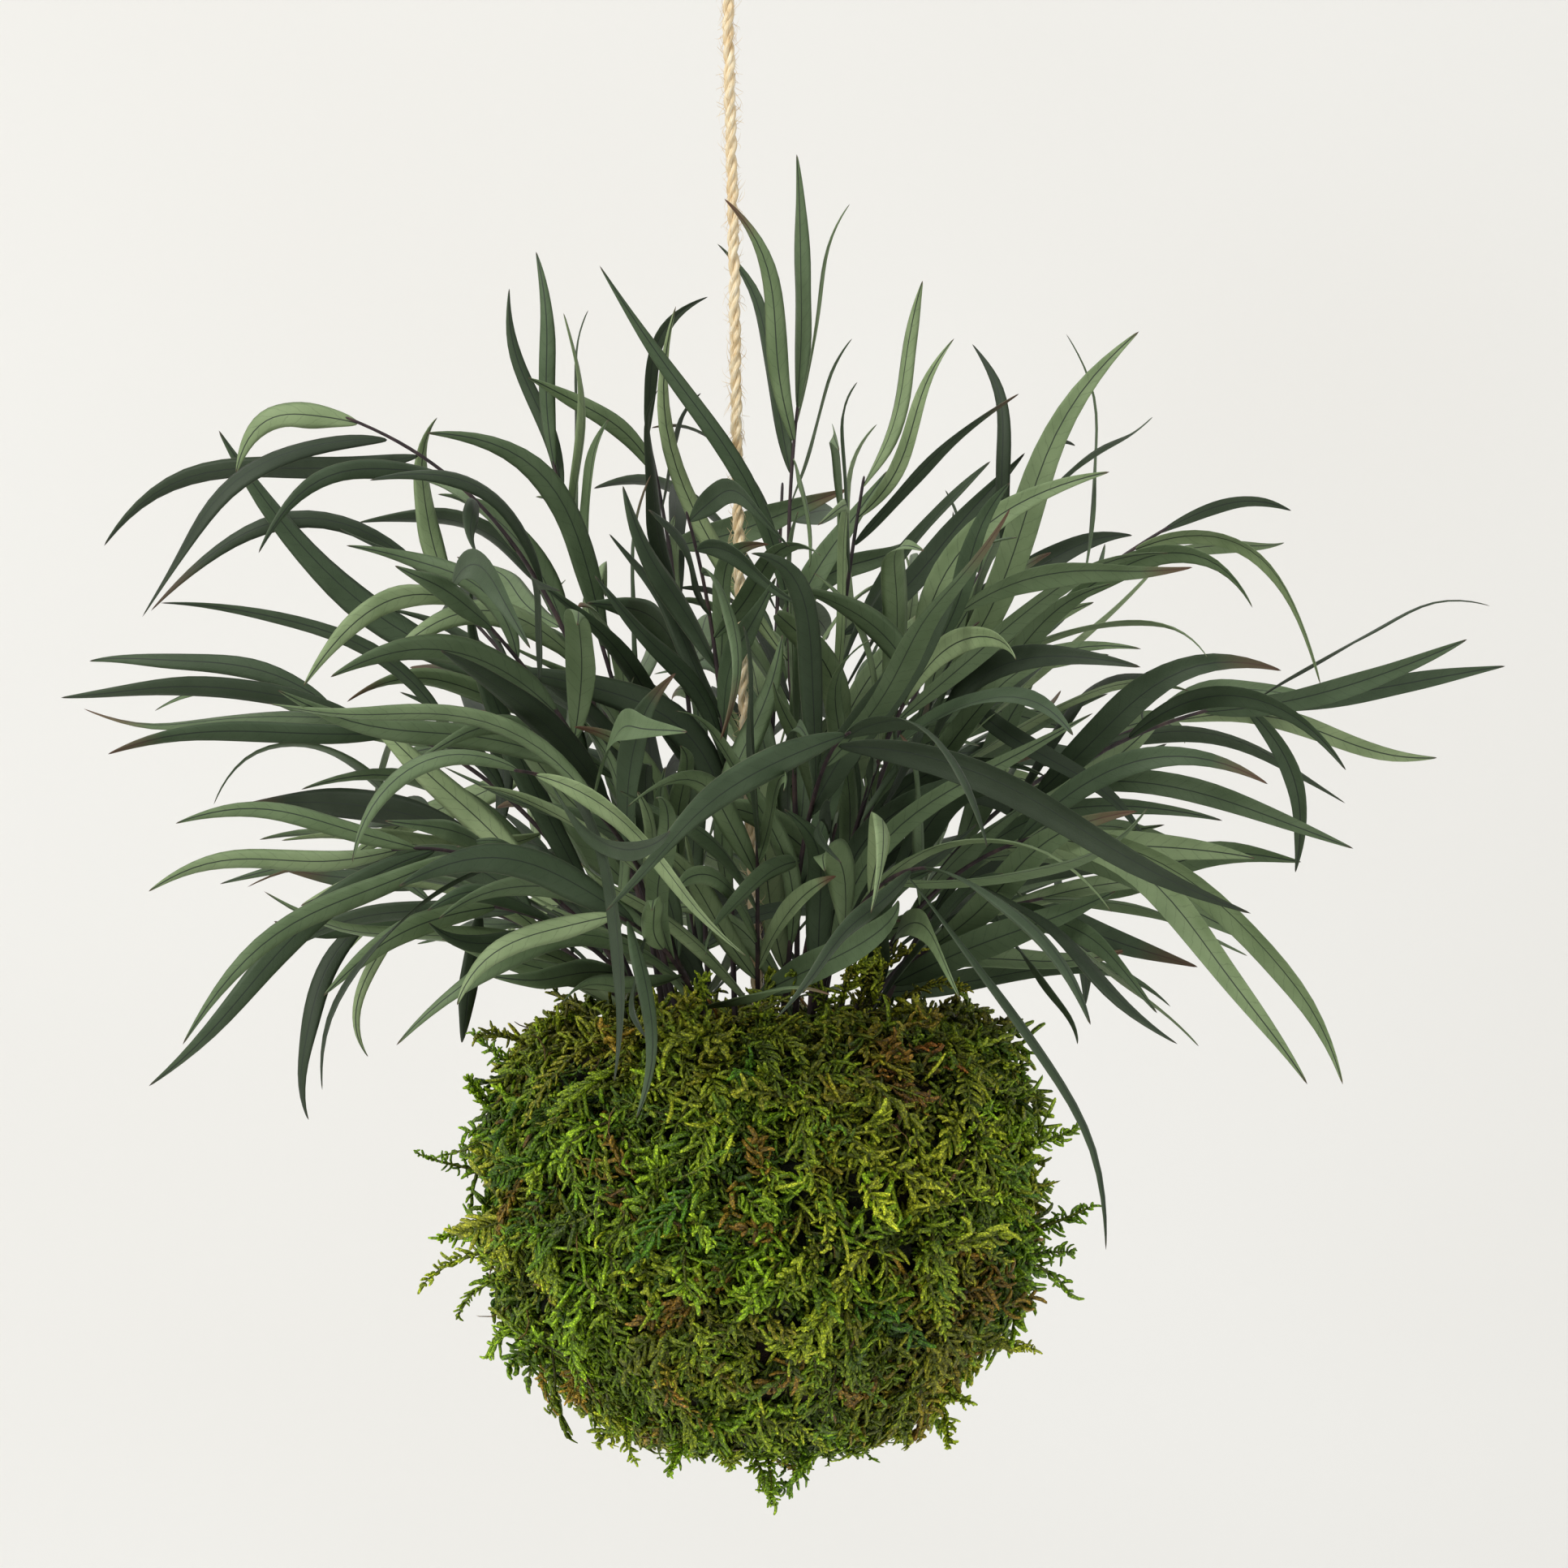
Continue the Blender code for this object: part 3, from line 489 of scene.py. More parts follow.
def moss_colours(points, rng):
    """Foot and tip colours of fronds by place: patches of deep, bright, olive and rusty moss, the foot darkened by
    painted shade.
    """
    deep, bright, olive, rust, pale = (linear(c) for c in ("#48720c", "#8fb31f", "#7d6f22", "#a06030", "#d9d048"))
    patch = soft_noise(points, 0.046, 3)[:, None] * 0.5 + 0.5
    small = soft_noise(points, 0.019, 8)[:, None] * 0.5 + 0.5
    tip = deep + (bright - deep) * np.clip(0.35 + 0.5 * small + 0.35 * rng.normal(size=patch.shape), 0, 1)
    tip = tip + (pale - tip) * np.clip(0.9 * (patch - 0.5) + 0.22 * rng.normal(size=patch.shape), 0, 0.5)
    high = np.clip((points[:, 2:] - 0.092) / 0.02, 0, 1)
    tip = tip + (olive - tip) * np.clip(0.7 * high + 0.2 * rng.normal(size=patch.shape), 0, 0.8)
    for middle, size in RUSTY_SPOTS:
        near = np.exp(-((points - middle) ** 2).sum(axis=1, keepdims=True) / size ** 2)
        tip = tip + (rust - tip) * np.clip(1.3 * near * rng.uniform(0.3, 1, patch.shape), 0, 0.9)
    tip = tip + (rust - tip) * (rng.random(patch.shape) < 0.03) * 0.7
    # The foot is about a third as bright as the tip: painted shade deep in the moss.
    return np.stack([tip * (0.34, 0.40, 0.30), tip], axis=1)


# The mat of old stems: the moss's outline set 9.5 mm in and lumped by two fields of soft noise.
profile = np.array([(0, 101.5), (34, 102.0), *inset(MOSS_OUTLINE, 9.5)[:-1], (0, 9.5)])
run = np.concatenate([[0], np.cumsum(np.linalg.norm(np.diff(profile, axis=0), axis=1))])
fine = np.linspace(0, run[-1], 92)[1:-1]
radius, height = (np.interp(fine, run, profile[:, i]) * MM for i in (0, 1))
turn = np.linspace(0, 2 * math.pi, 200, endpoint=False)
radius, height = radius[:, None], height[:, None]
ring = np.stack(np.broadcast_arrays(radius * np.cos(turn), radius * np.sin(turn), height), axis=-1).reshape(-1, 3)
lump = 1.8 * soft_noise(ring, 0.016, 1) + 1.3 * soft_noise(ring, 0.0055, 2)
ring = ring + unit(ring - (0, 0, 0.058)) * lump[:, None] * MM
points = np.concatenate([[(0, 0, 0.1015)], ring, [(0, 0, 0.0095)]])
# The mat's near-black colours are painted shade: they darken the gaps between the fronds.
moss_mat, tree, shader = new_material("moss_stems_and_painted_shade", 0.95)
tangle = noise(tree, 520.0, 8.0, Roughness=0.75, Distortion=1.2)
stem_colour_and_painted_shade = ramp(tree, tangle, ((0.34, "#070902"), (0.5, "#141906"), (0.62, "#23270a"), (0.76, "#382b14")))
surface(tree, shader, stem_colour_and_painted_shade, tangle, 1.0, 1.5 * MM)
mat = new_piece("moss_mat", settled(points), [block[:, ::-1] for block in tube_faces(90, 200)], [moss_mat])
belongs(mat, "moss_cover")

# Feather moss: leaves a cell thick, soft and slightly wet, so it is matt with small glints. The
# scale leaves are 0.5 mm long and show as a grain of paler dots; the near-white middle of each dot is a painted
# glint.
feather_moss, tree, shader = new_material("feather_moss", 0.5)
tone = add(tree, "Attribute", attribute_name="moss_tone").outputs["Color"]
coords = add(tree, "TexCoord").outputs["Object"]
scales = add(tree, "TexVoronoi", {"Vector": coords, "Scale": 1500.0}).outputs["Distance"]
# Pale dot ramp: the scale leaves' grain, with a painted glint at each raised middle.
grain_and_painted_glints = ramp(tree, scales, ((0.0, "#ffffff"), (0.22, "#eef2d0"), (0.42, "#b4bc98"), (0.70, "#8a927a"),
                           (1.0, "#6c745e")))
grained_with_painted_glints = mixed(tree, 1.0, tone, grain_and_painted_glints, "MULTIPLY")
lighter = mixed(tree, 1.0, grained_with_painted_glints, (2.8, 2.6, 2.3, 1), "MULTIPLY")
surface(tree, shader, lighter, scales, 0.9, 0.4 * MM, invert=True)
shader.inputs["Specular IOR Level"].default_value = 0.45


def moss_piece(name, made, set_down=True):
    """One piece of the moss from arrays for spindles, settled with the ball if it was set down."""
    points, faces, tones = spindles(*made)
    piece = new_piece(name, settled(points) if set_down else points, faces, [feather_moss])
    give_colour(piece, "moss_tone", tones)
    belongs(piece, "moss_cover")


rng = np.random.default_rng(21)
order = np.arange(FROND_COUNT) + rng.uniform(0, 1, FROND_COUNT)
share, turn = order / FROND_COUNT, (order * GOLDEN_ANGLE) % (2 * math.pi)
base, normal = ball_spots(np.clip(share, 0.002, 0.995), turn)
# Tufts and gaps: where one noise is low only sunken fronds grow; the deeper a frond sits, the darker its colour,
# as painted shade.
clump = soft_noise(base, 0.021, 4)[:, None]
gap = np.clip(-1.5 * soft_noise(base * (1, 1, 0.7), 0.015, 6)[:, None] - 0.35, 0, 1)
risen = rng.random((FROND_COUNT, 1)) * (1 - 0.85 * gap)
base = base + normal * (-8.4 + 4.6 * risen + 1.6 * clump) * MM
lying = hanging(normal, rng.normal(size=(FROND_COUNT, 1)) * 1.5)
lift = 0.02 + (0.2 + 0.6 * risen) * rng.random((FROND_COUNT, 1)) ** 1.2
way = unit(np.cos(lift) * lying + np.sin(lift) * normal)
face = unit(normal + 0.55 * rng.normal(size=normal.shape))
curl = (-normal * rng.uniform(0.1, 0.9, (FROND_COUNT, 1)) + 0.5 * rng.normal(size=normal.shape)
        - np.array([0, 0, 0.25]))
length = rng.uniform(10, 21, FROND_COUNT) * MM
reach = rng.uniform(3.8, 8.0, FROND_COUNT) * MM
# Colour times 0.34 + 0.9 × risen: painted shade on the sunken fronds.
tones_with_painted_shade = moss_colours(base, rng) * (0.34 + 0.9 * risen)[:, :, None]
sector = ((np.arctan2(base[:, 1], base[:, 0]) / (2 * math.pi) % 1) * SECTORS).astype(int)
for k in range(SECTORS):
    own = sector == k
    moss_piece(f"moss_fronds_{k + 1}", fronds(base[own], way[own], face[own], curl[own], length[own],
                                              reach[own], rng, tones_with_painted_shade[own]))

# Feathers: the largest fronds, arched over the others and drooping, with their branchlets in rows.
share, turn = rng.uniform(0.03, 0.93, FEATHER_COUNT), rng.uniform(0, 2 * math.pi, FEATHER_COUNT)
spot, normal = ball_spots(share, turn)
lying = hanging(normal, rng.normal(size=(FEATHER_COUNT, 1)) * 0.9)
lift = rng.uniform(0.15, 0.7, (FEATHER_COUNT, 1))
curl = (-normal * rng.uniform(0.4, 1.0, (FEATHER_COUNT, 1)) + 0.3 * rng.normal(size=normal.shape)
        - np.array([0, 0, 0.4]))
face = unit(normal + 0.3 * rng.normal(size=normal.shape))
length = rng.uniform(18, 28, FEATHER_COUNT) * MM
reach = rng.uniform(4.6, 7.6, FEATHER_COUNT) * MM
tones_with_painted_shade = moss_colours(spot, rng) * rng.uniform(0.85, 1.3, (FEATHER_COUNT, 1, 1))
moss_piece("moss_feathers", fronds(spot - normal * 6.4 * MM, unit(np.cos(lift) * lying + np.sin(lift) * normal),
                                   face, curl, length, reach, rng, tones_with_painted_shade, FEATHER_PAIRS, 0.45))

# Stragglers: longer fronds that have worked loose and stand up to 20 mm off the ball, as rows of
# (angle round the ball in degrees, height in mm, how far out they point, length in mm, rise).
STRAGGLERS = (
    (-172, 72, 0.8, 29, 0.1), (-175, 75, 0.8, 24, 0.0), (-168, 96, 0.6, 18, 0.5), (178, 58, 0.85, 20, -0.1),
    (-176, 52, 0.9, 26, 0.35), (-170, 47, 0.9, 22, 0.1), (-165, 38, 0.7, 18, -0.3), (-150, 28, 0.6, 16, -0.6),
    (-170, 102, 0.55, 20, 0.6), (-160, 108, 0.5, 18, 0.8), (-174, 86, 0.7, 16, 0.3), (-8, 78, 0.8, 22, 0.15),
    (-3, 56, 0.9, 26, 0.3), (-6, 52, 0.85, 24, 0.1), (-14, 34, 0.7, 18, -0.3), (2, 64, 0.7, 18, 0.2),
    (-20, 22, 0.6, 20, -0.9), (-24, 24, 0.5, 17, -0.8), (-66, 7, 0.45, 15, -0.9), (-85, 6, 0.3, 17, -1.0),
    (-93, 6, 0.3, 15, -1.0), (-105, 8, 0.5, 15, -0.8), (-120, 12, 0.5, 16, -0.9), (-140, 18, 0.6, 16, -0.8),
    (-35, 113, 0.3, 20, 0.9), (-42, 114, 0.25, 22, 1.0), (-50, 114, 0.2, 23, 1.0), (-58, 114, 0.25, 19, 1.0),
    (-48, 113, 0.3, 17, 0.9), (-66, 113, 0.3, 15, 0.9), (-110, 112, 0.3, 15, 0.9), (90, 70, 0.8, 22, 0.1),
    (60, 40, 0.7, 22, -0.3), (120, 50, 0.8, 20, 0.0), (40, 80, 0.7, 20, 0.3), (150, 30, 0.7, 20, -0.4),
    (100, 12, 0.5, 15, -0.9), (75, 100, 0.6, 18, 0.5), (135, 90, 0.7, 18, 0.4), (20, 20, 0.6, 16, -0.7),
)
around, level, out, size, rise = np.array(STRAGGLERS).T
radius = np.interp(level, [h for _, h in MOSS_OUTLINE[::-1]], [r for r, _ in MOSS_OUTLINE[::-1]]) - 8
angle = np.radians(around)
spot = settled(np.stack([radius * np.cos(angle), radius * np.sin(angle), level], axis=1) * MM)
outward = np.stack([np.cos(angle), np.sin(angle), 0 * angle], axis=1)
loose_way = unit(outward * out[:, None] + np.stack([-np.sin(angle), np.cos(angle), 0 * angle], axis=1)
                 * rng.normal(size=(len(out), 1)) * 0.25 + rise[:, None] * (0, 0, 0.7))
front_face = unit(np.array([0, -1.0, 0.3]) + 0.5 * rng.normal(size=spot.shape))
curl = 0.6 * rng.normal(size=spot.shape) - (0, 0, 0.1)
reach = rng.uniform(3.4, 5.2, len(out)) * MM
moss_piece("moss_stragglers", fronds(spot, loose_way, front_face, curl, size * MM, reach, rng,
                                     moss_colours(spot, rng) * 1.1, STRAGGLER_PAIRS), set_down=False)

# Single shoots: plump, curved tips of new growth between the fronds, 1.0 to 1.6 mm thick.
share, turn = rng.uniform(0.002, 0.995, SHOOT_COUNT), rng.uniform(0, 2 * math.pi, SHOOT_COUNT)
spot, normal = ball_spots(share, turn)
along = unit(normal * rng.uniform(0.0, 0.6, (SHOOT_COUNT, 1))
             + hanging(normal, 0) * rng.uniform(-0.3, 1.0, (SHOOT_COUNT, 1))
             + 0.5 * rng.normal(size=normal.shape))
bend = rng.normal(size=normal.shape) - 0.5 * normal - np.array([0, 0, 0.2])
tones_with_painted_shade = moss_colours(spot, rng) * rng.uniform(0.7, 1.4, (SHOOT_COUNT, 1, 1))
long = rng.uniform(8, 15, SHOOT_COUNT) * MM
moss_piece("moss_shoots", (spot - normal * 5.5 * MM, along, bend, long,
                           rng.uniform(0.5, 0.8, SHOOT_COUNT) * MM, tones_with_painted_shade))

# Litter caught in the moss: straws and curled brown stems, lying on it.
share, turn = rng.uniform(0.12, 0.97, LITTER_COUNT), rng.uniform(0, 2 * math.pi, LITTER_COUNT)
share[0], turn[0] = 0.46, math.radians(-120)
spot, normal = ball_spots(share, turn)
along = unit(np.cross(normal, rng.normal(size=normal.shape)) + 0.25 * normal)
long = rng.uniform(5, 14, LITTER_COUNT) * MM
bend = 1.3 * rng.normal(size=normal.shape) - 0.3 * normal
bend[:STRAW_COUNT] *= 0.1
thick = np.where(np.arange(LITTER_COUNT) < STRAW_COUNT, 0.5, 0.22) * rng.uniform(0.8, 1.2, LITTER_COUNT) * MM
straw = linear("#7a5c38") * rng.uniform(0.35, 1.0, (LITTER_COUNT, 1))
moss_piece("moss_litter", (spot - normal * 0.5 * MM - along * long[:, None] / 2, along, bend, long, thick,
                           np.stack([straw * 0.8, straw], axis=1)))


# --- Sprigs ---------------------------------------------------------------------------------
# Preserved willow eucalyptus. Each sprig is one grown piece: a thin purplish-brown twig that
# stands in its own hole in the root ball, with narrow sickle leaves, 50 to 110 mm long, on short
# stalks to either side of it.

SPRIGS = (
    ("crown", (10, 5, 263), 82, 8, (
      (0.98, (11, 2, 324), 0.02, 6.4), (0.93, (-8, -9, 313), 0.06, 6.0), (0.88, (-2, 14, 303), 0.06, 6.2),
      (0.955, (18, 9, 313), -0.05, 4.6), (0.83, (19, 16, 280), -0.06, 4.6),
      (0.905, (14, -16, 220), 0.16, 6.4), (0.66, (-41, -14, 296), 0.05, 6.0),
      (0.58, (-20, -10, 287), -0.14, 5.4))),
    ("upper_left", (-51, 10, 249), 78, 8, (
      (0.98, (-56, 8, 301), 0.03, 5.0), (0.93, (-62, 18, 292), -0.03, 4.6), (0.88, (-49, -6, 284), 0.10, 6.8),
      (0.83, (-47, 24, 289), 0.08, 3.6), (0.77, (-39, -14, 257), 0.12, 6.8))),
    ("left_arch", (-100, -22, 257), 20, 7, (
      (0.98, (-127, -18, 243), 0.30, 7.5), (0.93, (-143, -34, 206), 0.26, 7.5),
      (0.88, (-162, 0, 227), 0.10, 6.5), (0.83, (-120, -46, 222), 0.22, 5.5),
      (0.77, (-70, -36, 222), 0.20, 6.0))),
    ("left_back", (-84, 45, 221), 40, 8, (
      (0.72, (-135, 26, 258), -0.12, 9.5), (0.92, (-86, 44, 262), -0.10, 7.0),
      (0.98, (-153, 36, 208), 0.28, 5.5))),
    ("left_mid", (-107, 0, 187), 12, 6, (
      (0.98, (-168, 8, 201), 0.07, 6.0), (0.93, (-171, -14, 186), 0.09, 6.0),
      (0.88, (-165, 20, 177), 0.06, 5.6), (0.83, (-160, -32, 175), 0.04, 6.0),
      (0.77, (-155, 40, 188), 0.08, 5.4), (0.70, (-147, -8, 214), 0.16, 4.4))),
    ("left_low", (-88, -40, 152), -6, 6, (
      (0.98, (-149, -26, 141), 0.05, 6.0), (0.93, (-140, -60, 157), 0.10, 6.0),
      (0.88, (-142, -62, 92), 0.10, 7.6), (0.82, (-134, -82, 106), 0.12, 6.5),
      (0.72, (-110, -64, 96), 0.14, 6.0))),
    ("left_drop", (-96, 22, 136), -18, 6, (
      (0.98, (-116, 10, 82), 0.18, 6.0), (0.93, (-113, 42, 92), 0.16, 4.0), (0.88, (-99, 30, 97), 0.14, 3.6),
      (0.83, (-133, 46, 142), 0.16, 5.0), (0.70, (-72, 8, 101), 0.20, 6.4))),
    ("upper_mid", (-28, 18, 257), 75, 11, (
      (0.98, (-12, 13, 289), 0.20, 4.2), (0.92, (-58, 2, 269), 0.08, 5.5),
      (0.86, (-18, 22, 266), 0.08, 6.0))),
    ("upper_right_mid", (26, -8, 243), 80, 12, (
      (0.98, (42, -10, 292), -0.04, 6.5), (0.93, (46, -22, 277), -0.05, 4.6),
      (0.88, (65, -14, 263), 0.06, 5.5), (0.83, (18, -32, 265), 0.06, 6.0))),
    ("upper_right", (71, 10, 239), 58, 11, (
      (0.60, (95, 0, 281), 0.03, 9.5), (0.87, (54, 27, 276), 0.22, 4.6), (0.92, (77, 32, 257), 0.16, 5.5),
      (0.98, (100, 22, 255), 0.14, 5.5))),
    ("right_arch", (101, -5, 231), 30, 9, (
      (0.98, (132, 12, 236), 0.12, 4.6), (0.93, (136, -26, 190), 0.34, 6.5),
      (0.88, (134, 26, 224), 0.08, 5.5), (0.83, (86, 24, 281), -0.16, 5.5),
      (0.77, (124, -44, 212), 0.20, 7.0))),
    ("far_right", (126, 12, 189), 8, 6, (
      (0.98, (181, 24, 220), 0.02, 4.6), (0.88, (176, 2, 204), -0.05, 6.8),
      (0.93, (187, -14, 199), -0.05, 6.8), (0.83, (175, 36, 173), 0.04, 6.0),
      (0.955, (129, 34, 144), 0.12, 5.4), (0.74, (146, -22, 171), 0.24, 6.5))),
    ("right_low", (72, -40, 156), 8, 6, (
      (0.98, (147, -70, 99), 0.12, 9.4), (0.92, (130, -96, 99), 0.12, 8.6), (0.68, (99, -84, 103), 0.08, 8.4),
      (0.84, (122, -30, 150), 0.03, 8.6), (0.76, (128, -8, 128), 0.08, 7.0),
      (0.88, (124, -52, 168), 0.20, 7.0))),
    ("front", (22, -78, 180), 6, 6, (
      (0.98, (-31, -112, 135), 0.14, 9.5), (0.93, (56, -126, 153), 0.24, 7.5),
      (0.87, (112, -104, 134), 0.08, 9.6))),
    ("front_left", (-75, -52, 217), 40, 9, (
      (0.98, (-56, -98, 200), 0.22, 8.5), (0.87, (-83, -78, 224), 0.10, 6.5),
      (0.93, (-108, -74, 190), 0.22, 6.5))),
    ("front_low_left", (-57, -84, 171), 2, 6, (
      (0.93, (-6, -128, 123), 0.10, 7.5), (0.88, (-17, -134, 159), -0.16, 7.0),
      (0.80, (-28, -112, 97), 0.14, 7.0), (0.98, (-97, -112, 150), 0.26, 6.5))),
    ("front_low_right", (40, -80, 148), 0, 6, (
      (0.87, (89, -112, 64), 0.05, 5.0), (0.98, (78, -128, 112), 0.14, 8.0),
      (0.92, (11, -116, 112), 0.12, 5.5))),
    ("front_mid", (-17, -46, 233), 50, 11, (
      (0.98, (3, -78, 222), 0.30, 7.5), (0.87, (-3, -88, 178), 0.22, 6.5), (0.92, (8, -70, 209), 0.12, 6.5))),
    ("mid_right", (50, -46, 211), 45, 12, (
      (0.80, (0, -66, 217), 0.10, 8.5), (0.98, (104, -56, 216), 0.12, 8.0),
      (0.90, (63, -66, 240), 0.06, 6.5))),
    ("back_left_high", (-60, 62, 225), 50, 10, ()),
    ("back_high", (6, 58, 244), 68, 11, ()),
    ("back_right_high", (60, 62, 228), 50, 10, ()),
    ("back_right", (106, 66, 186), 18, 9, ()),
    ("back_mid_right", (52, 108, 178), 16, 9, ()),
    ("back_mid", (2, 116, 190), 20, 9, ()),
    ("back_mid_left", (-64, 100, 182), 15, 9, ()),
    ("back_left", (-104, 72, 164), 8, 9, ()),
    ("back_low", (26, 102, 138), -6, 8, ()),
    ("back_low_left", (-36, 96, 136), -6, 8, ()),
    ("back_low_right", (88, 78, 138), -6, 8, ()),
    ("short_middle", (0, -50, 156), 58, 11, ()),
    ("short_right", (19, -35, 158), 62, 11, ()),
    ("short_left", (-25, -14, 162), 62, 11, ()),
    ("short_back", (12, 24, 172), 66, 11, ()),
    ("low_front_left", (-34, -74, 137), 12, 9, (
      (0.98, (-72, -88, 116), 0.14, 7.0), (0.90, (-24, -104, 88), 0.22, 6.0))),
    ("low_left", (-65, -21, 138), 8, 9, (
      (0.98, (-104, -46, 116), 0.12, 6.6), (0.90, (-120, -4, 124), 0.10, 6.0))),
    ("low_right", (70, -20, 140), 10, 9, (
      (0.98, (118, -34, 124), 0.12, 7.4), (0.90, (92, -58, 112), 0.14, 7.0))),
)
TWIG_FOOT_HEIGHT = 78 * MM
TWIG_INNER, TWIG_SPREAD = 8 * MM, 0.105
TWIG_RADII = (1.1 * MM, 0.55 * MM)
TWIG_POINTS = 9
BLADE_PLACES = (0.15, 0.38, 0.62, 0.84)
BLADE_START = 0.15
BLADE_KEEL = 0.35 * MM, 0.5 * MM
WIDTH_SHARE = 0.92
PROOF_PLACES = (0.25, 0.35, 0.45, 0.56, 0.68, 0.8, 0.92)
CLEARANCE = 0.7 * MM
WANTED_SLIP = np.array([0.25, 1.0, 0.25]) * MM
WANTED_ARCH_SLIP, WANTED_ROLL_SLIP = 0.004, 0.03
MOST_TWIST = 0.7
FILLING_FIRST, FILLING_LAST, WANTED_SHARE = 0.27, 0.98, 0.055
FILLING_LENGTH, FILLING_WIDTH, FILLING_ARCH = (0.046, 0.092), (5.4, 9.2), (-0.05, 0.28)
FOLIAGE_FLOOR = 0.105
MOST_TRIES = 40
LAYOUT_SEED = 11
FOLIAGE_CENTRE, FOLIAGE_REACH = np.array([0.004, 0, 0.155]), np.array([0.158, 0.15, 0.135])
STRING_POINTS = 60


def twig_path(end, slope, count=TWIG_POINTS):
    """A cubic curve up out of the core and over to the twig's end, which it reaches at this slope."""
    end = np.array(end) * MM
    reach = math.hypot(end[0], end[1])
    out = np.array([end[0], end[1], 0]) / reach
    up = np.array([0, 0, 1.0])
    foot = out * (TWIG_INNER + TWIG_SPREAD * reach) + up * TWIG_FOOT_HEIGHT
    size = np.linalg.norm(end - foot)
    lean = 0.05 + 0.17 * reach / size
    last = out * math.cos(math.radians(slope)) + up * math.sin(math.radians(slope))
    handles = foot, foot + unit(out * lean + up) * 0.5 * size, end - last * 0.3 * size, end
    t = np.linspace(0, 1, count)[:, None]
    weights = (1 - t) ** 3, 3 * t * (1 - t) ** 2, 3 * t * t * (1 - t), t ** 3
    return sum(weight * handle for weight, handle in zip(weights, handles))


def point_on(path, place):
    """The point and the direction at this share of the path's points."""
    spot = place * (len(path) - 1)
    low = min(int(spot), len(path) - 2)
    step = path[low + 1] - path[low]
    return path[low] + step * (spot - low), unit(step)


def blade_frame(leaf, places):
    """Centre, tangent, across and face of a leaf at each place: the chord plus a parabola of rise."""
    base, tip, arch, roll, twist, _ = leaf
    u = np.array(places)[:, None]
    chord = tip - base
    length = np.linalg.norm(chord)
    side = unit(np.cross(chord, (0.05, -0.3, 1.0)))
    rise = np.cross(side, chord / length) * arch * length
    centre = base + chord * u + rise * 4 * u * (1 - u)
    tangent = unit(chord + rise * 4 * (1 - 2 * u))
    flat = np.cross(side, tangent)
    angle = roll + twist * u
    across = np.cos(angle) * side + np.sin(angle) * flat
    return centre, tangent, across, np.cross(tangent, across)


def half_width(width, places):
    """A narrow lance shape: quick to widen, widest before the middle and drawn out to the tip."""
    u = np.array(places)[:, None]
    return width * 0.5 * 2.67 * u ** 0.6 * (1 - u) ** 0.85


def spindle(start, rings, end):
    """Points and faces of a closed body through rings of points, pointed at both ends."""
    count, around = rings.shape[:2]
    points = [tuple(start), *map(tuple, rings.reshape(-1, 3)), tuple(end)]
    faces = []
    for j in range(around):
        k = (j + 1) % around
        faces.append((0, 1 + k, 1 + j))
        for i in range(count - 1):
            row, above = 1 + i * around, 1 + (i + 1) * around
            faces.append((row + j, row + k, above + k, above + j))
        top = 1 + (count - 1) * around
        faces.append((top + j, top + k, len(points) - 1))
    return points, faces


def blade(leaf, places, spare=0.0):
    """A leaf's blade: flat on top with a shallow keel below, and spare added all round."""
    centre, _, across, face = blade_frame(leaf, places)
    half = half_width(leaf[5], places) + spare
    keel = BLADE_KEEL[0] + BLADE_KEEL[1] * half / half.max() + 2 * spare
    rings = np.stack([centre - across * half + face * spare,
                      centre - face * keel,
                      centre + across * half + face * spare], axis=1)
    first = blade_frame(leaf, (places[0] - BLADE_START,))[0][0]
    return spindle(first, rings, leaf[1])


def prism(path, radius):
    """A square tube along a path, as a stand-in for a round one where leaves are laid clear of it."""
    tangent = unit(np.gradient(path, axis=0))
    side = unit(np.cross(tangent, (0.3, 1.0, 0.1)))
    other = np.cross(tangent, side)
    rings = path[:, None] + radius * np.stack([side, other, -side, -other], axis=1)
    return spindle(path[0], rings[:, ::-1], path[-1])


class Room:
    """The bodies laid so far, for finding a place for the next one that touches none of them."""

    def __init__(self, bodies):
        self.trees, self.lows, self.highs, self.owners = [], [], [], []
        for body in bodies:
            self.add(*body)

    def add(self, points, faces, owner=None):
        self.trees.append(BVHTree.FromPolygons(points, faces))
        self.lows.append(np.min(points, axis=0))
        self.highs.append(np.max(points, axis=0))
        self.owners.append(owner)

    def clear_of(self, points, faces, but=None):
        """Whether a new body touches none of those here, but for those of one owner."""
        low, high = np.min(points, axis=0), np.max(points, axis=0)
        near = ((np.array(self.lows) < high) & (np.array(self.highs) > low)).all(axis=1)
        tree = BVHTree.FromPolygons(points, faces)
        return not any(self.trees[i].overlap(tree) for i in np.flatnonzero(near)
                       if but is None or self.owners[i] != but)


def wanted_leaf(path, row, slip, rng):
    """A leaf of the sprig's own list, moved a little more with each try, mostly in depth."""
    place, tip, arch, width = row
    base, _ = point_on(path, place)
    shift = rng.normal(size=5)
    tip = np.array(tip) * MM + shift[:3] * slip * WANTED_SLIP
    roll = 1.1 + 0.3 * shift[3] + WANTED_ROLL_SLIP * slip * shift[4]
    arch += WANTED_ARCH_SLIP * slip * shift[4]
    twist = np.clip(0.5 * shift[3], -MOST_TWIST, MOST_TWIST)
    return base, tip, arch, roll, twist, width * WIDTH_SHARE * MM


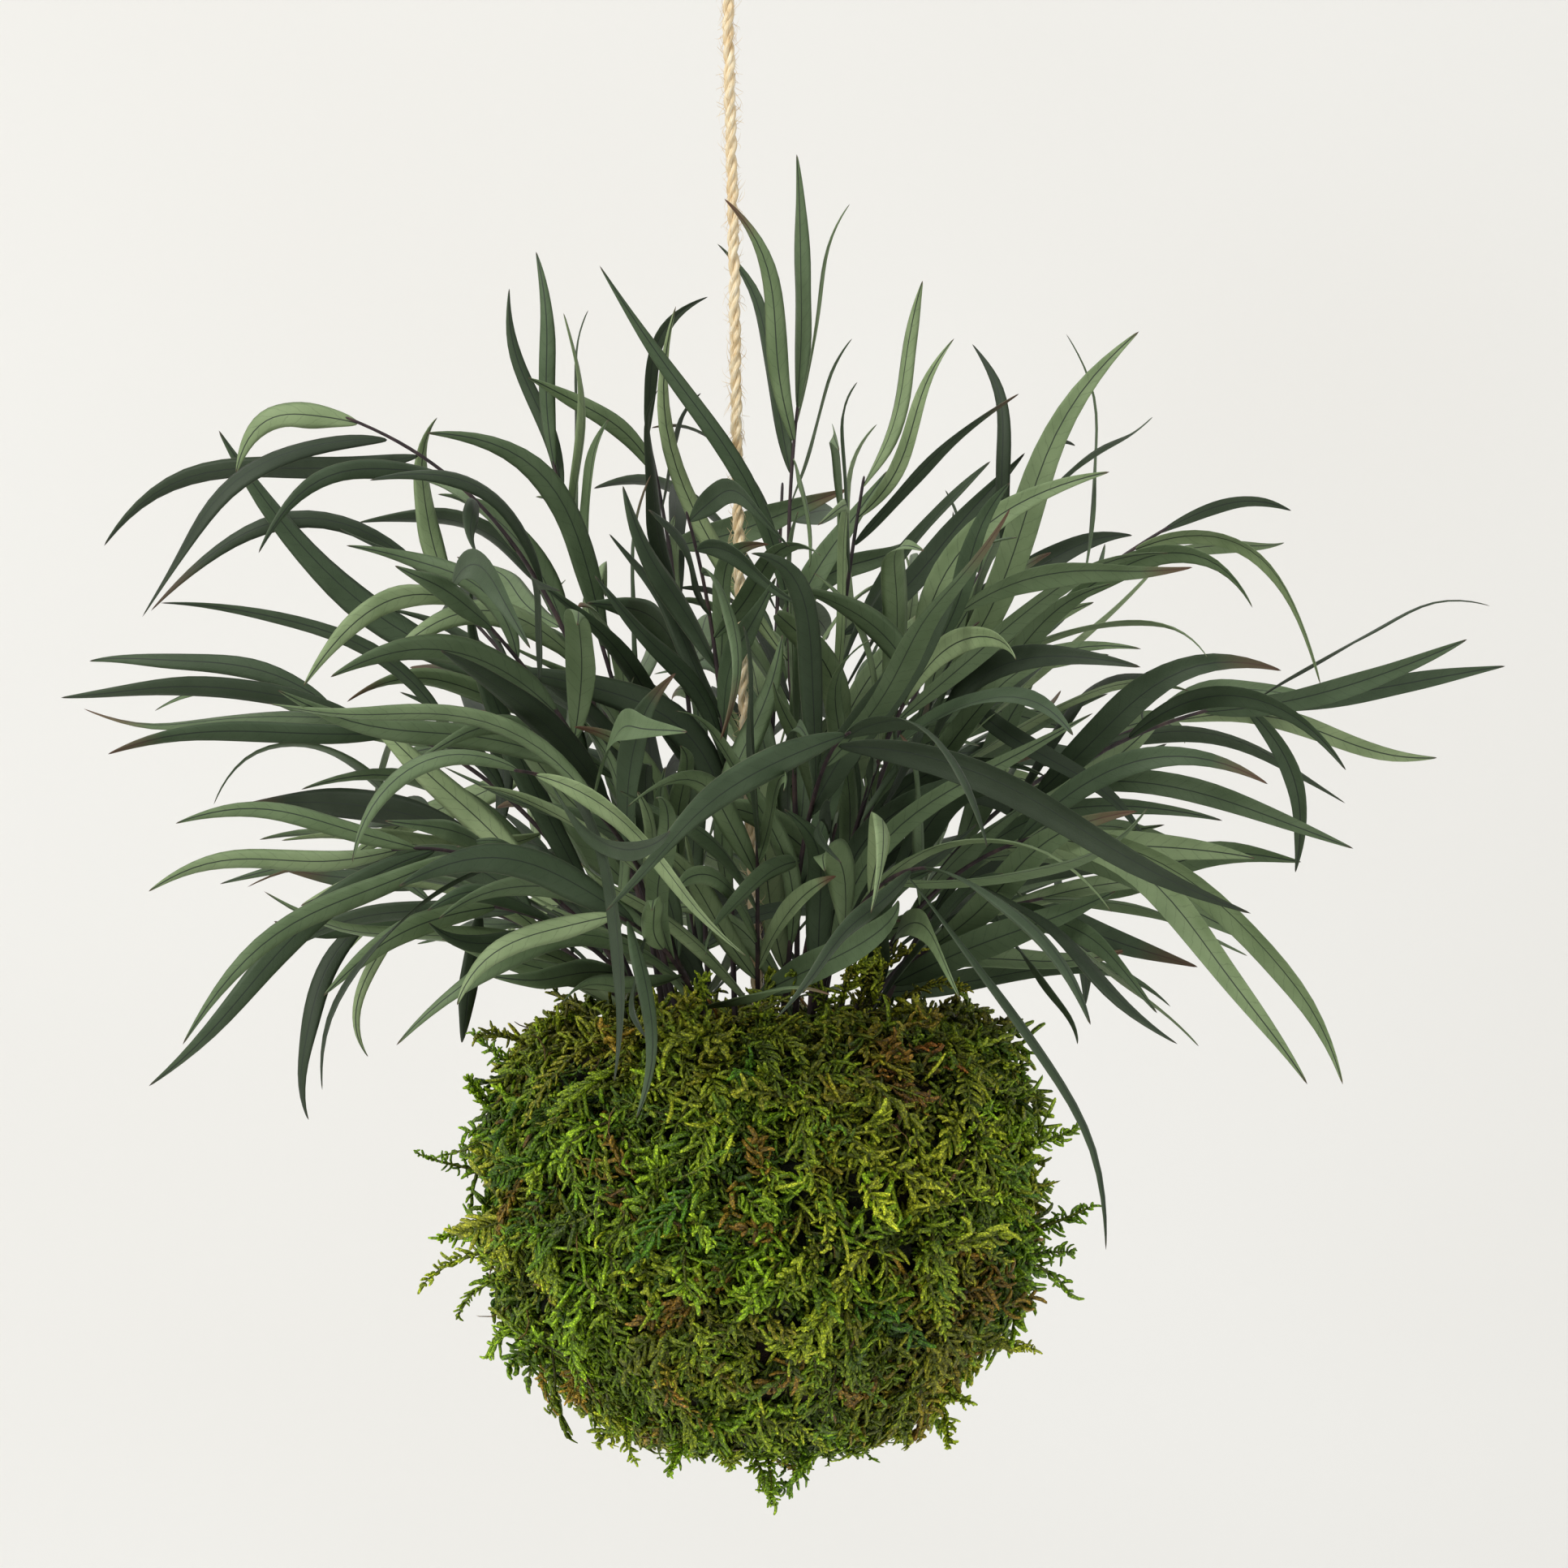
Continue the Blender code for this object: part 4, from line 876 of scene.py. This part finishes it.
def filling_leaf(path, place, hand, rng):
    """A leaf that grows out of the twig to this hand (+1 or -1) and droops, drawn anew each try."""
    base, along = point_on(path, place + 0.01 * rng.normal())
    sideways = unit(np.cross(along, (0.02, 0.01, 1.0)))
    outward = unit(np.array([base[0], base[1], 0.02]))
    stray = 0.2 + 0.45 * rng.random() ** 2
    away = unit(0.7 * along + (0.45 + 0.5 * rng.random()) * hand * sideways + 0.3 * outward
                + stray * rng.normal(size=3) - (0, 0, 0.12))
    tip = base + away * rng.uniform(*FILLING_LENGTH)
    arch, width = rng.uniform(*FILLING_ARCH), rng.uniform(*FILLING_WIDTH) * MM
    return base, tip, arch, rng.uniform(0.3, 2.6), rng.uniform(-MOST_TWIST, MOST_TWIST), width


def within_foliage(tip):
    spread = (((tip - FOLIAGE_CENTRE) / FOLIAGE_REACH) ** 2).sum()
    return spread < 1 and tip[2] > FOLIAGE_FLOOR


def lay_leaves(obstacles):
    """Finds every sprig's leaves, clear of the obstacles and of each other: {sprig: [leaf, ...]}.

    Each leaf is tried twice: its outer part with room to spare, and the whole thin blade against
    all but its own twig.
    """
    rng = np.random.default_rng(LAYOUT_SEED)
    paths = {name: twig_path(end, slope) for name, end, slope, _, _ in SPRIGS}
    spacious, whole = Room(obstacles), Room(obstacles)
    for name, path in paths.items():
        spacious.add(*prism(path, TWIG_RADII[0]))
        whole.add(*prism(path, TWIG_RADII[0]), name)
    leaves = {name: [] for name in paths}

    def settle(name, draw, wanted):
        for tries in range(MOST_TRIES):
            leaf = draw(tries)
            proof, thin = blade(leaf, PROOF_PLACES, CLEARANCE), blade(leaf, BLADE_PLACES)
            inside = wanted or within_foliage(leaf[1])
            if inside and spacious.clear_of(*proof) and whole.clear_of(*thin, name):
                leaves[name].append(leaf)
                spacious.add(*proof)
                whole.add(*thin)
                return

    for name, _, _, _, rows in SPRIGS:
        for row in rows:
            settle(name, lambda slip: wanted_leaf(paths[name], row, slip, rng), True)
    for name, _, _, filling, rows in SPRIGS:
        for k in range(filling):
            highest = FILLING_LAST - WANTED_SHARE * len(rows)
            place = FILLING_FIRST + (highest - FILLING_FIRST) * (k + 0.5) / filling
            hand = 1 - 2 * (k % 2)
            settle(name, lambda _: filling_leaf(paths[name], place, hand, rng), False)
    return paths, leaves


LEAF_ROWS = np.array([0.02, 0.07, 0.14, 0.24, 0.35, 0.46, 0.57, 0.68, 0.79, 0.89, 0.96])
STALK_HALF, TIP_HALF, HALF_THICKNESS = 0.4 * MM, 0.14 * MM, 0.16 * MM
TWIG_THINNING, TWIG_ROWS, BROWN_TIPS = 0.8, 26, 0.12
LEAF_FULLNESS = 3.7  # smoothing draws the margins in, so 4.15 would give the full width and this nine tenths


def leaf_shell(leaf, grain):
    """One leaf as a thin closed shell: its points, and each point's share of the width, place and map.

    Rings of six points run along the midrib: the two margins, a point half-way to each, the groove
    over the midrib and the ridge under it. The margins fold up and waver, and the tip curls.
    """
    base, tip, arch, roll, twist, width = leaf
    size = np.linalg.norm(tip - base)
    u = np.append(LEAF_ROWS, 1.0)[:, None]
    centre, _, across, face = blade_frame(leaf, u[:, 0])
    half = width * 0.5 * LEAF_FULLNESS * u ** 0.62 * (1 - u) ** 0.95
    half = np.maximum(half, np.where(u < 0.5, STALK_HALF, TIP_HALF))
    half = half * (1 + 0.05 * np.sin(u * 19 + grain[0] * 6))
    fold = half * (0.22 + 0.25 * grain[1]) * np.minimum(1, u / 0.2)
    wave = 0.10 * half * np.sin(u * (9 + 6 * grain[2]) + 6 * grain[3])
    centre = centre + across * size * 0.09 * (grain[4] - 0.5) * np.sin(2 * math.pi * u)
    centre = centre + face * size * 0.9 * (grain[5] - 0.5) * np.clip(u - 0.70, 0, None) ** 2 * 4
    wide, rise, sway = across * half, face * fold, face * wave
    low, high = 0.42 * rise + face * HALF_THICKNESS, 0.3 * sway
    ring = np.stack([centre - wide + rise + sway, centre - wide * 0.5 + low + high, centre + face * 0.02 * MM,
                     centre + wide * 0.5 + low - high, centre + wide + rise - sway,
                     centre - face * 0.42 * MM], axis=1)[:-1, ::-1]
    points = np.concatenate([base[None], ring.reshape(-1, 3), centre[-1:]])
    shares = np.array([0.0, 1.0, 0.5, 0.0, -0.5, -1.0])
    across_cm = np.concatenate([[0], (shares * half[:-1]).ravel() / 0.01, [0]])
    share = np.concatenate([[0], np.tile(np.abs(shares), len(LEAF_ROWS)), [0]])
    place = np.concatenate([[0], np.repeat(LEAF_ROWS, 6), [1]])
    return points, share, place, np.stack([across_cm, place * size / 0.01], axis=1)


# Preserved eucalyptus leaf: glycerine-dried, so it is leathery, matt and grey-green, with a dark
# midrib 0.3 mm wide, faint slanting side veins every 2 mm and a browned tip here and there.

def maths(operation, *values):
    """One step of arithmetic on values or links in the leaf's shader."""
    return add(tree, "Math", dict(enumerate(values)), operation=operation).outputs[0]


def ranged(value, start, end, first, last):
    """The value's range from start to end, mapped to first to last."""
    inputs = {"Value": value, "From Min": start, "From Max": end, "To Min": first, "To Max": last}
    return add(tree, "MapRange", inputs).outputs[0]


leaf_green, tree, shader = new_material("preserved_eucalyptus_leaf", 0.58)
tone = add(tree, "Attribute", attribute_name="leaf_tone")
parts = add(tree, "SeparateColor", {"Color": tone.outputs["Color"]}).outputs
base_green = ramp(tree, parts["Red"], ((0.0, "#333f2e"), (0.3, "#4d5f45"), (0.7, "#71855f"), (1.0, "#97a97d")))
cloud = ramp(tree, noise(tree, 95.0, 4.0), ((0.3, "#b4c0ae"), (0.7, "#ffffff")))
clouded = mixed(tree, 0.55, base_green, cloud, "MULTIPLY")
blade_map = add(tree, "UVMap", uv_map="blade").outputs["UV"]
across_along = add(tree, "SeparateXYZ", {"Vector": blade_map}).outputs
off_rib = maths("ABSOLUTE", across_along["X"])
ragged = noise(tree, 9.0, 3.0, blade_map)
waver = maths("MULTIPLY_ADD", ragged, 0.16, maths("MULTIPLY_ADD", off_rib, -1.1, across_along["Y"]))
vein = ranged(maths("PINGPONG", maths("MULTIPLY", waver, 5.2), 1.0), 0.0, 0.12, 1.0, 0.0)
rib = ranged(off_rib, 0.008, 0.021, 1.0, 0.0)
lines = maths("MAXIMUM", maths("MULTIPLY", vein, 0.28), rib)
veined = mixed(tree, lines, clouded, (*linear("#2c352c"), 1))
dry = mixed(tree, parts["Green"], veined, (*linear("#6b4a3c"), 1))
edged = mixed(tree, ranged(parts["Blue"], 0.93, 1.0, 0.0, 0.4), dry, (*linear("#8d8f78"), 1))
grit = noise(tree, 2600.0, 2.0)
surface(tree, shader, edged, maths("MULTIPLY_ADD", lines, -0.8, grit), 0.35, 0.2 * MM)
shader.inputs["Specular IOR Level"].default_value = 0.3

# Twig bark: thin, smooth, dark purplish-brown, with fine scars round it.
bark, tree, shader = new_material("eucalyptus_twig_bark", 0.6)
coords = add(tree, "TexCoord").outputs["Object"]
drawn_out = add(tree, "Mapping", {"Vector": coords, "Scale": (300, 300, 90)}).outputs["Vector"]
scars = noise(tree, 1.0, 5.0, drawn_out)
bark_colour = ramp(tree, scars, ((0.3, "#1d1619"), (0.55, "#3a2c30"), (0.8, "#5e4a44")))
surface(tree, shader, bark_colour, scars, 0.5, 0.2 * MM)

string_body = prism(smooth_path(STRING_ROUTE, STRING_POINTS), STRING_RADIUS + CLEARANCE)
_, leaves = lay_leaves([string_body, moss_cover_body()])
grow = np.random.default_rng(33)
leaf_faces = tube_faces(len(LEAF_ROWS), 6)
for name, end, slope, _, _ in SPRIGS:
    shells, offset, quads, fans, colours, maps = [], 0, [], [], [], []
    for leaf in leaves[name]:
        grain = grow.random(8)
        points, share, place, spots = leaf_shell(leaf, grain)
        shells.append(points)
        quads.append(leaf_faces[0] + offset)
        fans.append(leaf_faces[1] + offset)
        brown_from = 0.97 if grain[6] > BROWN_TIPS else 0.86
        browned = np.clip((place - brown_from) / 0.04, 0, 1) * (0.4 + 0.6 * grain[7])
        colours.append(np.stack([np.full(len(points), grain[7] ** 1.2), browned, share], axis=1))
        maps.append(spots)
        offset += len(points)
    path = twig_path(end, slope, TWIG_ROWS)
    tangent = unit(np.gradient(path, axis=0))
    side = unit(np.cross(tangent, (0.3, 1.0, 0.1)))
    spin = np.linspace(0, 2 * math.pi, 8, endpoint=False)
    knobbly = 1 + 0.1 * np.sin(np.arange(len(path)) * 2.3)
    thick = np.linspace(*TWIG_RADII, len(path)) * knobbly * TWIG_THINNING
    ring = rings(path, thick, side, np.cross(tangent, side), spin)
    twig_points = np.concatenate([path[:1], ring.reshape(-1, 3), path[-1:] + tangent[-1:] * 0.8 * MM])
    twig_faces = [block + offset for block in tube_faces(len(path), 8)]
    shells.append(twig_points)
    colours.append(np.zeros((len(twig_points), 3)))
    maps.append(np.zeros((len(twig_points), 2)))
    faces = [np.concatenate(quads), np.concatenate(fans), *twig_faces]
    piece = new_piece("eucalyptus_" + name, np.concatenate(shells), faces, [leaf_green, bark])
    is_twig = np.repeat([0, 0, 1, 1], [len(block) for block in faces])
    piece.data.polygons.foreach_set("material_index", is_twig.astype(np.int32))
    give_colour(piece, "leaf_tone", np.concatenate(colours))
    all_maps = np.concatenate(maps)
    give_map(piece, "blade", np.concatenate([all_maps[block.ravel()] for block in faces]))
    smooth = piece.modifiers.new("smooth", "SUBSURF")
    smooth.levels = smooth.render_levels = 1
    belongs(piece, "sprig_" + name)


# --- Studio ---------------------------------------------------------------------------------
# A seamless pale backdrop that curves into the floor well below the hanging plant, lit by a big
# soft box from the upper left, a weaker one from the right and an even white surround.

turn = np.linspace(0, math.pi / 2, 13)
floor_z, wall_y, bend = -0.36, 2.2, 0.8
curve = np.stack([wall_y - bend + bend * np.sin(turn), floor_z + bend - bend * np.cos(turn)], axis=1)
sweep = np.concatenate([[(-5.0, floor_z)], curve, [(wall_y, 4.5)]])
width = np.array([-5.0, 5.0])
points = np.stack(np.broadcast_arrays(width, sweep[:, :1], sweep[:, 1:]), axis=-1).reshape(-1, 3)
row = 2 * np.arange(len(sweep) - 1)[:, None]
backdrop_paper, tree, shader = new_material("matt_backdrop_paper", 1.0)
mottle = noise(tree, 1.5, 2.0)
tree.links.new(ramp(tree, mottle, ((0.3, "#f1efec"), (0.7, "#f6f5f3"))), shader.inputs["Base Color"])
shader.inputs["Specular IOR Level"].default_value = 0.0
backdrop = new_piece("backdrop", points, [row + np.array([[0, 1, 3, 2]])], [backdrop_paper])


def soft_box(name, place, aim, size, power, colour):
    """A square area light at a place, turned to face a point."""
    light = bpy.data.lights.new(name, "AREA")
    light.size, light.energy, light.color = size, power, linear(colour)
    lamp = bpy.data.objects.new(name, light)
    lamp.location = place
    away = np.array(place) - np.array(aim)
    tilt = math.atan2(math.hypot(away[0], away[1]), away[2])
    lamp.rotation_euler = (tilt, 0, math.atan2(away[0], -away[1]))
    bpy.context.scene.collection.objects.link(lamp)


soft_box("key_soft_box", (-1.5, -1.4, 1.9), (0, 0, 0.15), 1.5, 48, "#fffdf8")
soft_box("fill_soft_box", (1.8, -1.8, 0.8), (0, 0, 0.12), 1.6, 6, "#fbfcff")
soft_box("backdrop_light", (-0.3, 0.7, 1.9), (0, 2.2, 0.2), 1.8, 7, "#f2fbff")
world = bpy.data.worlds.new("white_surround")
world.use_nodes = True
surround = world.node_tree.nodes["Background"]
surround.inputs["Color"].default_value = (*linear("#fbfbf9"), 1)
surround.inputs["Strength"].default_value = 0.58
bpy.context.scene.world = world
bpy.context.scene.view_settings.view_transform = "Standard"
